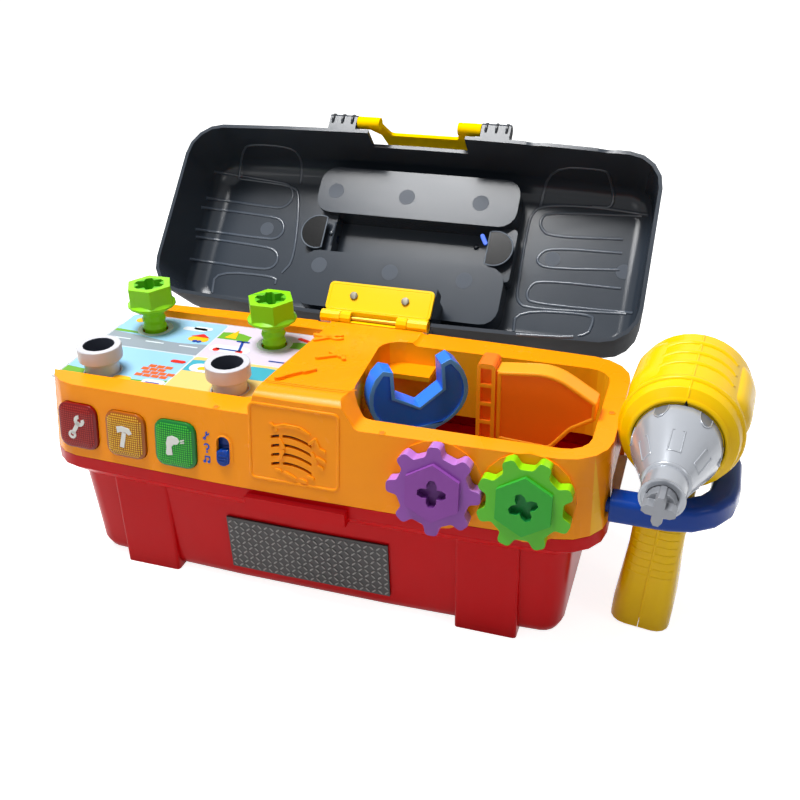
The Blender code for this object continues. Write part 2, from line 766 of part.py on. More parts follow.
def build_tub():
    wide = HALF_LENGTH - BODY_END_INSET
    deep = HALF_DEPTH - BODY_FRONT_INSET
    ledge = SEAM_HEIGHT - LIP_HEIGHT
    foot_wide = wide - BODY_TAPER
    foot_deep = deep - BODY_TAPER
    sole_wide = foot_wide - FLOOR_EDGE / 2
    sole_deep = foot_deep - FLOOR_EDGE / 2
    lip = HALF_LENGTH - LIP_TAPER
    lip_deep = HALF_DEPTH - LIP_TAPER
    rings = [
        ring(
            plan(sole_wide - WALL, WALL - sole_deep, sole_deep - WALL, (BODY_CORNER - FLOOR_EDGE) / 2),
            FLOOR_TOP,
        ),
        ring(
            plan(foot_wide - WALL, WALL - foot_deep, foot_deep - WALL, BODY_CORNER - WALL),
            FLOOR_TOP + FLOOR_EDGE,
        ),
        ring(plan(wide - WALL, WALL - deep, deep - WALL, BODY_CORNER - WALL), ledge + WALL),
        ring(plan(lip - WALL, WALL - lip_deep, lip_deep - WALL, CASE_CORNER - WALL), ledge + WALL),
        ring(
            plan(HALF_LENGTH - WALL, WALL - HALF_DEPTH, HALF_DEPTH - WALL, CASE_CORNER - WALL),
            ledge + LIP_EDGE + WALL,
        ),
        ring(plan(HALF_LENGTH - WALL, WALL - HALF_DEPTH, HALF_DEPTH - WALL, CASE_CORNER - WALL), SEAM_HEIGHT),
        ring(plan(HALF_LENGTH, -HALF_DEPTH, HALF_DEPTH, CASE_CORNER), SEAM_HEIGHT),
        ring(plan(HALF_LENGTH, -HALF_DEPTH, HALF_DEPTH, CASE_CORNER), ledge + LIP_EDGE),
        ring(plan(lip, -lip_deep, lip_deep, CASE_CORNER), ledge),
        ring(plan(wide, -deep, deep, BODY_CORNER), ledge),
        ring(plan(foot_wide, -foot_deep, foot_deep, BODY_CORNER), FLOOR_LIFT + FLOOR_EDGE),
        ring(plan(sole_wide, -sole_deep, sole_deep, BODY_CORNER - FLOOR_EDGE / 2), FLOOR_LIFT),
    ]
    tub = piece("tub", smooth(loft(rings)), "tub_red")
    columns = []
    for side in (-1, 1):
        for along in (-1, 1):
            low_x = side * COLUMN_OFFSET - COLUMN_WIDTH / 2
            near = along * (foot_deep - COLUMN_SINK)
            far = along * (HALF_DEPTH - COLUMN_INSET)
            outline = rectangle(low_x, low_x + COLUMN_WIDTH, min(near, far), max(near, far), COLUMN_EDGE)
            columns.append(prism([outline], 0, ledge + WALL / 2))
    join(tub, cutter("columns", together(*columns)))
    partition = box_mesh(
        (PARTITION_X - WALL, WALL / 2 - sole_deep, FLOOR_TOP - WALL / 2),
        (PARTITION_X, sole_deep - WALL / 2, PARTITION_HEIGHT),
    )
    join(tub, cutter("partition", partition))
    join(tub, cutter("foot", prism([circle(FOOT_RADIUS, SMALL_STEPS)], 0, FLOOR_TOP - WALL / 2)))
    low = Vector((BOX_X - BOX_LENGTH / 2, BOX_Y - BOX_WIDTH / 2, 0))
    high = Vector((BOX_X + BOX_LENGTH / 2, BOX_Y + BOX_WIDTH / 2, FLOOR_LIFT + BOX_HEIGHT))
    skin = Vector((WALL, WALL, WALL))
    join(tub, cutter("battery_walls", box_mesh(low - skin + Vector((0, 0, WALL + FLOOR_LIFT)), high + skin)))
    cut(tub, cutter("battery_room", box_mesh(low - Vector((0, 0, OVERRUN)), high)))
    ledge_holes = []
    wells = []
    for x, y, drop in case_screw_places():
        hole = prism([circle(CASE_SCREW_RADIUS + GAP, SMALL_STEPS)], ledge - OVERRUN / 2, ledge + OVERRUN / 4)
        ledge_holes.append(moved(hole, x, y, 0))
        if drop:
            well = prism([circle(CASE_SCREW_HEAD + GAP, SMALL_STEPS)], -OVERRUN, ledge - drop)
            wells.append(moved(well, x, y, 0))
    cut(tub, cutter("ledge_holes", together(*ledge_holes)), cutter("wells", together(*wells)))
    keeper_y = -HALF_DEPTH - CASE_BOW - KEEPER_PROUD
    keeper = box_mesh(
        (-KEEPER_WIDTH / 2, keeper_y, SEAM_HEIGHT - KEEPER_BOTTOM),
        (KEEPER_WIDTH / 2, LIP_TAPER - HALF_DEPTH, SEAM_HEIGHT - KEEPER_TOP),
    )
    join(tub, cutter("keeper", keeper))
    scallops = [
        placed(prism([circle(GEAR_BOSS + GAP, ROUND_STEPS)], -3 * WALL, 3 * WALL), gear_frame(side))
        for side in (-1, 1)
    ]
    cut(tub, cutter("scallop_left", scallops[0]), cutter("scallop_right", scallops[1]))
    plate = box_mesh(
        low + Vector((GAP, GAP, FLOOR_LIFT)), (high.x - GAP, high.y - GAP, FLOOR_LIFT + DOOR_THICKNESS),
    )
    door = piece("battery_door", plate, "tub_red")
    slot = circle(CASE_SCREW_RADIUS + GAP, SMALL_STEPS, (low.x + DOOR_SCREW_INSET, BOX_Y))
    cut(door, cutter("door_hole", prism([slot], 0, OVERRUN)))
    screw_top = FLOOR_LIFT + DOOR_SCREW_LENGTH
    seat = FLOOR_LIFT - GAP
    head = seat - CASE_SCREW_HEAD / 2
    screw = [
        (0, screw_top), (CASE_SCREW_RADIUS, screw_top), (CASE_SCREW_RADIUS, seat),
        (CASE_SCREW_HEAD, seat), (CASE_SCREW_HEAD, head), (0, head),
    ]
    frame = Matrix.Translation((low.x + DOOR_SCREW_INSET, BOX_Y, 0))
    piece("battery_door_screw", turned("battery_door_screw", screw, SMALL_STEPS), "steel", frame)
    for index, label in enumerate(("front", "middle", "rear")):
        nub = AA_RADIUS / 3
        half = AA_LENGTH / 2
        profile = [
            (0, half), (nub, half), (nub, half - nub / 2), (AA_RADIUS, half - nub / 2), (AA_RADIUS, -half),
            (0, -half),
        ]
        place = (BOX_X, BOX_Y + (index - 1) * AA_PITCH, FLOOR_LIFT + BOX_HEIGHT - AA_RADIUS - GAP)
        frame = Matrix.Translation(place) @ Matrix.Rotation(math.pi / 2, 4, "Y")
        piece("battery_" + label, turned("battery", profile, SMALL_STEPS), "cell_black", frame)
    names = (
        "case_screw_left_front", "case_screw_left_rear", "case_screw_right_front", "case_screw_right_rear",
    )
    for name, (x, y, drop) in zip(names, case_screw_places()):
        seat = ledge - drop - GAP
        head = seat - CASE_SCREW_HEAD / 2
        top = seat + CASE_SCREW_LENGTH
        profile = [
            (0, top), (CASE_SCREW_RADIUS, top), (CASE_SCREW_RADIUS, seat), (CASE_SCREW_HEAD, seat),
            (CASE_SCREW_HEAD, head), (0, head),
        ]
        piece(name, turned(name, profile, SMALL_STEPS), "steel", Matrix.Translation((x, y, 0)))


def tub_face(x, height):
    """Front of the tub body, as a distance along Y."""
    share = (height - FLOOR_LIFT) / (SEAM_HEIGHT - LIP_HEIGHT - FLOOR_LIFT)
    half = HALF_LENGTH - BODY_END_INSET
    front = HALF_DEPTH - BODY_FRONT_INSET - BODY_TAPER * (1 - share)
    return -front - CASE_BOW * (1 - (x / half) ** 2)


def build_label():
    rings = []
    top = SEAM_HEIGHT - LABEL_TOP
    for step in range(SIDE_STEPS + 1):
        x = LABEL_WIDTH * (step / SIDE_STEPS - 1 / 2)
        near = [
            (x, tub_face(x, height) - GAP - LABEL_THICKNESS, height) for height in (top - LABEL_HEIGHT, top)
        ]
        far = [(x, tub_face(x, height) - GAP, height) for height in (top, top - LABEL_HEIGHT)]
        rings.append(near + far)
    piece("label_plate", loft(rings), "plate_grey")


def arched_slot(start, end, rise):
    """Outline of one speaker slot, bent along a flat arch."""
    upper = []
    lower = []
    for step in range(SIDE_STEPS + 1):
        x = start + (end - start) * step / SIDE_STEPS
        y = rise - (x + GRILLE_APEX) ** 2 / (2 * GRILLE_ARCH)
        upper.append(Vector((x, y + GRILLE_SLOT / 2)))
        lower.append(Vector((x, y - GRILLE_SLOT / 2)))
    return upper + list(reversed(lower))


def build_tray():
    top = SEAM_HEIGHT + BLOCK_HEIGHT + OVERRUN
    body = smooth(loft([ring(tray_plan(0), SEAM_HEIGHT + GAP), ring(tray_plan(BLOCK_HEIGHT + OVERRUN), top)]))
    tray = piece("tray", body, "tray_orange")
    far = HALF_LENGTH + OVERRUN
    skyline = rounded((
        (-far, -OVERRUN, 0), (far, -OVERRUN, 0), (far, RIM_HEIGHT, 0),
        (BLOCK_RIGHT, RIM_HEIGHT, BLOCK_FILLET),
        (BLOCK_RIGHT - BLOCK_SLANT_RIGHT, BLOCK_HEIGHT, BLOCK_FILLET),
        (BLOCK_SLANT_LEFT - BLOCK_LEFT, BLOCK_HEIGHT, BLOCK_FILLET / 2), (-BLOCK_LEFT, RIM_HEIGHT, 0),
        (-far, RIM_HEIGHT, 0),
    ))
    lift = Matrix.Translation((0, 0, SEAM_HEIGHT))
    combine(
        tray,
        cutter("skyline", upright(prism([skyline], -OVERRUN - CASE_DEPTH, CASE_DEPTH + OVERRUN)), lift),
        "INTERSECT",
    )
    front = -HALF_DEPTH - CASE_BOW
    lean = FACE_LEAN * BLOCK_HEIGHT / RIM_HEIGHT
    behind = HALF_DEPTH + OVERRUN
    side_view = rounded((
        (-behind, -OVERRUN, 0), (behind, -OVERRUN, 0), (behind, BLOCK_BACK_HEIGHT, 0),
        (CARD_BACK, BLOCK_BACK_HEIGHT, 0),
        (front + lean, BLOCK_HEIGHT, FRONT_FILLET_DEPTH),
        (front + lean - BLOCK_FRONT_EASE, RIM_HEIGHT + FACE_LEAN, 0),
        (-behind, RIM_HEIGHT + FACE_LEAN, 0),
    ))
    combine(tray, cutter("side_view", sideways(prism([side_view], -far, far)), lift), "INTERSECT")
    ceiling = DECK_HEIGHT - WALL
    hollow = loft([
        ring(tray_plan(-OVERRUN, WALL), SEAM_HEIGHT - OVERRUN),
        ring(tray_plan(ceiling, WALL), SEAM_HEIGHT + ceiling),
    ])
    hollow = cutter("hollow", hollow)
    cut(hollow, cutter("bay_walls", prism([bay_outline(WALL)], SEAM_HEIGHT - 2 * OVERRUN, top)))
    cut(tray, hollow)
    room_low = ceiling - WALL
    room_high = BLOCK_HEIGHT - FRONT_FILLET_DEPTH
    loft_room = rounded((
        (front + FACE_LEAN * room_low / RIM_HEIGHT + WALL, room_low, 0), (CARD_BACK - WALL, room_low, 0),
        (CARD_BACK - WALL, BLOCK_BACK_HEIGHT - WALL, 0),
        (front + lean + FRONT_FILLET_DEPTH, BLOCK_HEIGHT - WALL - BLOCK_FRONT_EASE, 0),
        (front + FACE_LEAN * room_high / RIM_HEIGHT + WALL, room_high, 0),
    ))
    room = cutter("block_room", sideways(prism([loft_room], BLOCK_ROOM_LEFT, BLOCK_ROOM_RIGHT)), lift)
    cut(room, cutter("bay_walls_in_block", prism([bay_outline(WALL)], SEAM_HEIGHT, top)))
    cut(tray, room)
    cut(tray, cutter("bay", prism([bay_outline()], SEAM_HEIGHT - OVERRUN / 2, top + OVERRUN)))
    recess = rounded((
        (-far, -CARD_FRONT, 0), (-BLOCK_LEFT - CARD_MARGIN, -CARD_FRONT, 0),
        (-BLOCK_LEFT - CARD_MARGIN, CARD_BACK, 0),
        (-CARD_END + RECESS_CORNER / 2, CARD_BACK, RECESS_CORNER), (-far, CARD_FRONT - RECESS_CORNER, 0),
    ))
    cut(tray, cutter("recess", prism([recess], DECK_TOP, top)))
    holes = [prism([outline], DECK_TOP - OVERRUN, DECK_TOP + OVERRUN) for outline in card_holes(GAP)]
    cut(tray, cutter("holes", together(*holes)))
    posts = []
    post_holes = []
    ledge = SEAM_HEIGHT - LIP_HEIGHT + WALL + GAP
    for x, y, _ in case_screw_places():
        posts.append(moved(prism([circle(POST_RADIUS, SMALL_STEPS)], ledge, DECK_TOP - WALL / 2), x, y, 0))
        bore = prism(
            [circle(CASE_SCREW_RADIUS + GAP, SMALL_STEPS)], ledge - OVERRUN, ledge + CASE_SCREW_LENGTH,
        )
        post_holes.append(moved(bore, x, y, 0))
    join(tray, cutter("posts", together(*posts)))
    cut(tray, cutter("post_holes", together(*post_holes)))
    shelf = box_mesh(
        (BAY_LEFT_BACK - WALL / 2, BAY_BACK - SHELF_DEPTH, SEAM_HEIGHT + SHELF_TOP - SHELF_THICKNESS),
        (BAY_LEFT_BACK + SHELF_WIDTH, BAY_BACK + WALL / 2, SEAM_HEIGHT + SHELF_TOP),
    )
    join(tray, cutter("shelf", shelf))
    for side, label in ((-1, "left"), (1, "right")):
        boss = prism([circle(GEAR_BOSS, ROUND_STEPS)], -WALL, GEAR_BOSS_PROUD)
        join(tray, cutter("gear_boss_" + label, boss, gear_frame(side)))
    windows = []
    for index in range(3):
        half_x = BUTTON_WIDTH / 2 + GAP
        half_y = BUTTON_HEIGHT / 2 + GAP
        outline = rectangle(-half_x, half_x, -half_y, half_y, BUTTON_CORNER + GAP)
        frame = face_frame(BUTTON_FIRST_X + index * BUTTON_PITCH, BUTTON_MIDDLE)
        windows.append(placed(prism([outline], -2 * WALL, 2 * WALL), frame))
    half = (SLOT_HIGH - SLOT_LOW) / 2
    slot = rectangle(-SLOT_WIDTH / 2, SLOT_WIDTH / 2, -half, half, SLOT_WIDTH / 4)
    windows.append(placed(prism([slot], -2 * WALL, 2 * WALL), face_frame(SLOT_X, SLOT_LOW + half)))
    for row in range(GRILLE_ROWS):
        rise = (row - (GRILLE_ROWS - 1) / 2) * (GRILLE_SLOT + GRILLE_BAR)
        dash = arched_slot(-GRILLE_DASH_START, -GRILLE_DASH_END, rise)
        slot = arched_slot(-GRILLE_SLOT_START, GRILLE_SLOT_END, rise)
        windows.append(placed(prism([dash, slot], -2 * WALL, 2 * WALL), face_frame(GRILLE_X, GRILLE_HEIGHT)))
    for side in (-1, 1):
        bore = prism([circle(AXLE_RADIUS + GAP, SMALL_STEPS)], -2 * WALL, 2 * WALL)
        windows.append(placed(bore, gear_frame(side)))
    cut(tray, cutter("windows", together(*windows)))
    post = circle(BOARD_POST_RADIUS, SMALL_STEPS)
    studs = []
    for side in (-1, 1):
        stud = prism([post], -BOARD_DEPTH_BEHIND + GAP, -WALL / 2)
        studs.append(placed(stud, face_frame(BUTTON_FIRST_X + (1 + side / 2) * BUTTON_PITCH, BUTTON_MIDDLE)))
    join(tray, cutter("board_studs", together(*studs)))
    notch = box_mesh(
        (HALF_LENGTH - NOTCH_DEEP, LOOP_MIDDLE_Y - NOTCH_DEPTH / 2, SEAM_HEIGHT - OVERRUN),
        (far, LOOP_MIDDLE_Y + NOTCH_DEPTH / 2, SEAM_HEIGHT + NOTCH_HEIGHT),
    )
    seats = [notch]
    for side in (-1, 1):
        bore = prism([circle(LOOP_PEG + GAP, SMALL_STEPS)], -LOOP_TAIL - GAP, OVERRUN)
        place = Matrix.Translation(
            (HALF_LENGTH, LOOP_MIDDLE_Y + side * LOOP_HALF_DEPTH, SEAM_HEIGHT + LOOP_HEIGHT)
        )
        seats.append(placed(bore, place @ Matrix.Rotation(math.pi / 2, 4, "Y")))
    hinge_seat = box_mesh(
        (-HINGE_CLEAR_HALF, PIVOT_Y - BARREL_RADIUS - GAP, SEAM_HEIGHT + PIVOT_HEIGHT - BARREL_RADIUS - GAP),
        (HINGE_CLEAR_HALF, behind, top),
    )
    seats.append(hinge_seat)
    cut(tray, cutter("seats", together(*seats)))


def build_card():
    corners = rounded((
        (-CARD_END, -CARD_FRONT + GAP, 0), (-BLOCK_LEFT - CARD_MARGIN - GAP, -CARD_FRONT + GAP, 0),
        (-BLOCK_LEFT - CARD_MARGIN - GAP, CARD_BACK - GAP, 0),
        (-CARD_END + RECESS_CORNER / 2, CARD_BACK - GAP, RECESS_CORNER),
        (-CARD_END, CARD_FRONT - RECESS_CORNER, RECESS_CORNER / 2),
    ))
    sheet = prism([corners, *card_holes(2 * GAP)], DECK_TOP + GAP, CARD_TOP)
    piece("picture_card", sheet, "card_print")
    low = HALF_LENGTH - NOTCH_DEEP + GAP
    depth = SPARE_DEPTH / 2
    spare = box_mesh(
        (low, LOOP_MIDDLE_Y - depth, SEAM_HEIGHT + GAP),
        (HALF_LENGTH + SPARE_PROUD, LOOP_MIDDLE_Y + depth, SEAM_HEIGHT + GAP + CARD_THICKNESS),
    )
    piece("spare_card", spare, "card_print")


def build_controls():
    slots = (("red_button", "button_red"), ("amber_button", "button_amber"), ("green_button", "button_green"))
    foot = -WALL - GAP
    board = -BOARD_DEPTH_BEHIND
    for index, (name, slot) in enumerate(slots):
        half_x = BUTTON_WIDTH / 2
        half_y = BUTTON_HEIGHT / 2
        inset = BUTTON_CROWN_INSET
        side = rectangle(-half_x, half_x, -half_y, half_y, BUTTON_CORNER)
        crown = rectangle(
            inset - half_x, half_x - inset, inset - half_y, half_y - inset, BUTTON_CORNER - inset,
        )
        tab_foot = foot - BUTTON_FLANGE_THICKNESS
        rings = [
            ring(side, tab_foot - GAP), ring(side, BUTTON_PROUD), ring(crown, BUTTON_PROUD + BUTTON_CROWN),
        ]
        frame = face_frame(BUTTON_FIRST_X + index * BUTTON_PITCH, BUTTON_MIDDLE)
        button = piece(name, loft(rings), slot, frame)
        tabs = box_mesh(
            (-BUTTON_TAB, -half_y - BUTTON_FLANGE, tab_foot), (BUTTON_TAB, half_y + BUTTON_FLANGE, foot),
        )
        join(button, cutter(name + "_tabs", tabs, frame))
        profile = [
            (0, board + LAMP_LENGTH), (LAMP_RADIUS, board + LAMP_LENGTH - LAMP_RADIUS),
            (LAMP_RADIUS, board + GAP), (0, board + GAP),
        ]
        piece(name.replace("button", "lamp"), turned("lamp", profile, SMALL_STEPS), slot, frame)
    middle = BUTTON_FIRST_X + BUTTON_PITCH
    frame = face_frame(middle, BUTTON_MIDDLE)
    reach = BUTTON_PITCH + BUTTON_WIDTH / 2
    half_y = BUTTON_HEIGHT / 2
    plate = box_mesh((-reach, -half_y, board - BOARD_THICKNESS), (reach + BOARD_EXTRA, half_y, board))
    piece("button_board", plate, "board_green", frame)
    half = (SLOT_HIGH - SLOT_LOW) / 2
    frame = face_frame(SLOT_X, SLOT_LOW + KNOB_HEIGHT / 2 + GAP)
    knob_x = SLOT_WIDTH / 2 - GAP
    wide = SLIDER_PLATE_WIDTH / 2
    tall = SLIDER_PLATE_HEIGHT / 2
    bend = SLOT_WIDTH / 4
    knob = rectangle(-knob_x, knob_x, -KNOB_HEIGHT / 2, KNOB_HEIGHT / 2, bend)
    back = rectangle(-wide, wide, -tall, tall, bend)
    rings = [
        ring(back, foot - SLIDER_PLATE_THICKNESS), ring(back, foot), ring(knob, foot),
        ring(knob, KNOB_PROUD),
    ]
    piece("mode_slider", loft(rings), "tool_blue", frame)
    switch = box_mesh((-wide, -tall, board + GAP), (wide, tall, foot - SLIDER_PLATE_THICKNESS - SWITCH_ROOM))
    aside = Matrix.Translation((SLOT_X - middle, SLOT_LOW + half - BUTTON_MIDDLE, 0))
    piece("mode_switch", switch, "dark_plastic", face_frame(middle, BUTTON_MIDDLE) @ aside)
    profile = [
        (0, foot), (SPEAKER_RADIUS, foot), (SPEAKER_RADIUS, foot - WALL),
        (SPEAKER_MAGNET_RADIUS, foot - SPEAKER_DEPTH / 2),
        (SPEAKER_MAGNET_RADIUS, foot - SPEAKER_DEPTH), (0, foot - SPEAKER_DEPTH),
    ]
    piece("speaker", turned("speaker", profile), "dark_plastic", face_frame(GRILLE_X, GRILLE_HEIGHT))


def gear_frame(side):
    """Frame of a gear: both share one leaning direction so that they mesh."""
    middle = GEAR_LEFT_X + GEAR_SPACING / 2
    return face_frame(middle, GEAR_HEIGHT) @ Matrix.Translation((side * GEAR_SPACING / 2, 0, 0))


def gear_outline():
    """Outline with round-tipped teeth."""
    half = math.pi / GEAR_TEETH
    shapes = (
        (GEAR_ROOT, -GEAR_TOOTH_FOOT, GEAR_TOOTH_ROUND), (GEAR_TIP, -GEAR_TOOTH_TOP, GEAR_TOOTH_ROUND),
        (GEAR_TIP, GEAR_TOOTH_TOP, GEAR_TOOTH_ROUND), (GEAR_ROOT, GEAR_TOOTH_FOOT, GEAR_TOOTH_ROUND),
    )
    corners = []
    for tooth in range(GEAR_TEETH):
        turn = Matrix.Rotation(tooth * 2 * half, 2)
        corners.extend((*(turn @ Vector((x, y))), radius) for x, y, radius in shapes)
    return rounded(corners)


def cross_outline(reach, lobe):
    """A cross with four round-ended arms."""
    points = []
    for arm in range(4):
        turn = Matrix.Rotation(arm * math.pi / 2, 2)
        for step in range(ARC_STEPS):
            angle = math.pi * (step / (ARC_STEPS - 1) - 1 / 2)
            points.append(turn @ Vector((reach - lobe + lobe * math.cos(angle), lobe * math.sin(angle))))
        points.append(turn @ Vector((lobe, lobe)))
    return points


def build_gears():
    gears = ((-1, "purple", "gear_purple", 0), (1, "green", "gear_green", math.pi / GEAR_TEETH))
    for side, name, slot, phase in gears:
        frame = gear_frame(side) @ Matrix.Rotation(phase, 4, "Z")
        back = GEAR_OFFSET
        front = GEAR_OFFSET + GEAR_THICKNESS
        gear = piece(name + "_gear", prism([gear_outline()], back, front), slot, frame)
        hub = prism(
            [circle(GEAR_HUB, 6, phase=math.pi / 6 - phase)], front - WALL / 2, front + GEAR_HUB_HEIGHT,
        )
        join(gear, cutter(name + "_hub", hub, frame))
        top = front + GEAR_HUB_HEIGHT
        recess = prism(
            [cross_outline(GEAR_CROSS_REACH, GEAR_CROSS_LOBE)], top - GEAR_CROSS_DEPTH, top + OVERRUN,
        )
        bore = prism([circle(AXLE_RADIUS + GAP, SMALL_STEPS)], back - OVERRUN, back + GEAR_BORE_DEPTH)
        cut(gear, cutter(name + "_recesses", together(recess, bore), frame))
        tail = -WALL - GAP - WALL
        profile = [
            (0, back + GEAR_BORE_DEPTH - GAP), (AXLE_RADIUS, back + GEAR_BORE_DEPTH - GAP),
            (AXLE_RADIUS, -WALL - GAP),
            (AXLE_RADIUS + WALL / 2, -WALL - GAP), (AXLE_RADIUS + WALL / 2, tail), (0, tail),
        ]
        piece(name + "_gear_axle", turned("axle", profile, SMALL_STEPS), "steel", gear_frame(side))


def star_outline():
    """Socket of the big screws: six round lobes."""
    points = []
    for lobe in range(6):
        for step, radius in ((-1, SOCKET_RADIUS), (1, SOCKET_RADIUS), (3, SOCKET_WAIST)):
            angle = math.pi / 3 * lobe + step * math.pi / 18
            points.append(Vector((radius * math.cos(angle), radius * math.sin(angle))))
    return points


def build_fasteners():
    for side, label in ((-1, "left"), (1, "right")):
        x = HOLE_MIDDLE_X + side * HOLE_SPREAD_X
        frame = Matrix.Translation((x, HOLE_MIDDLE_Y + HOLE_SPREAD_Y, CARD_TOP))
        flange = SCREW_NECK
        hex_foot = flange + SCREW_FLANGE_HEIGHT
        profile = [
            (0, hex_foot + SCREW_FLANGE_EASE),
            (SCREW_HEX_RADIUS * math.cos(math.pi / 6), hex_foot + SCREW_FLANGE_EASE),
            (SCREW_FLANGE_RADIUS, hex_foot), (SCREW_FLANGE_RADIUS, flange + SCREW_FLANGE_HEIGHT / 2),
            (SCREW_FLANGE_RADIUS - SCREW_FLANGE_EASE, flange),
        ]
        turns = int((SCREW_NECK + SCREW_TAIL) / SCREW_THREAD_PITCH)
        for turn in range(turns):
            height = flange - turn * SCREW_THREAD_PITCH
            profile.append((SCREW_SHANK_RADIUS - SCREW_THREAD_DEPTH, height))
            profile.append((SCREW_SHANK_RADIUS, height - SCREW_THREAD_PITCH / 2))
        profile.append((SCREW_SHANK_RADIUS - 2 * SCREW_THREAD_DEPTH, -SCREW_TAIL))
        profile.append((0, -SCREW_TAIL))
        screw = piece("screw_" + label, turned("screw", profile, 16), "screw_green", frame)
        head = prism([circle(SCREW_HEX_RADIUS, 6)], hex_foot - WALL / 2, hex_foot + SCREW_HEX_HEIGHT)
        join(screw, cutter("hex_" + label, head, frame))
        top = hex_foot + SCREW_HEX_HEIGHT
        cut(
            screw,
            cutter("socket_" + label, prism([star_outline()], top - SOCKET_DEPTH, top + OVERRUN), frame),
        )
        frame = Matrix.Translation((x, HOLE_MIDDLE_Y - HOLE_SPREAD_Y, CARD_TOP))
        ring_foot = PEG_STAND - PEG_RING_HEIGHT
        groove = PEG_BODY_RADIUS + (PEG_RING_RADIUS - PEG_BODY_RADIUS) / 2
        profile = [
            (0, PEG_STAND - PEG_BORE_DEPTH), (PEG_BORE_RADIUS, PEG_STAND - PEG_BORE_DEPTH),
            (PEG_BORE_RADIUS, PEG_STAND),
            (PEG_RING_RADIUS, PEG_STAND), (PEG_RING_RADIUS, ring_foot), (groove, ring_foot),
            (PEG_BODY_RADIUS, ring_foot - WALL),
            (PEG_BODY_RADIUS, -PEG_TAIL), (0, -PEG_TAIL),
        ]
        piece("peg_" + label, turned("peg", profile), "peg_grey", frame)


def swept(path, outline):
    """Closed bar along a level path; the outline gives the offset sideways and upward."""
    rings = []
    for index, point in enumerate(path):
        before = path[max(index - 1, 0)]
        after = path[min(index + 1, len(path) - 1)]
        along = (after - before).normalized()
        across = Vector((along.y, -along.x))
        rings.append([(*(point + across * offset), rise) for offset, rise in outline])
    return loft(rings)


def build_holder():
    inner = HALF_LENGTH + GAP
    outer = HALF_LENGTH + LOOP_REACH
    near = LOOP_MIDDLE_Y - LOOP_HALF_DEPTH
    far = LOOP_MIDDLE_Y + LOOP_HALF_DEPTH
    bend = rounded(((inner, near, 0), (outer, near, LOOP_CORNER), (outer, far, LOOP_CORNER), (inner, far, 0)))
    section = rectangle(-LOOP_RADIUS, LOOP_RADIUS, -LOOP_RADIUS, LOOP_RADIUS, LOOP_RADIUS / 2, 3)
    section = [(offset, rise + SEAM_HEIGHT + LOOP_HEIGHT) for offset, rise in section]
    holder = piece("drill_holder", smooth(swept(bend, section)), "tool_blue")
    pegs = []
    for y in (near, far):
        peg = prism([circle(LOOP_PEG, SMALL_STEPS)], -LOOP_TAIL, LOOP_TAIL)
        place = Matrix.Translation((HALF_LENGTH, y, SEAM_HEIGHT + LOOP_HEIGHT))
        pegs.append(placed(peg, place @ Matrix.Rotation(math.pi / 2, 4, "Y")))
    join(holder, cutter("holder_pegs", together(*pegs)))


def lid_frame():
    return Matrix.Translation(PIVOT) @ Matrix.Rotation(-LID_ANGLE, 4, "X")


def along_x(mesh):
    """Turn a mesh drawn about Z so that its Z runs along X."""
    mesh.transform(Matrix.Rotation(math.pi / 2, 4, "Y"))
    return mesh


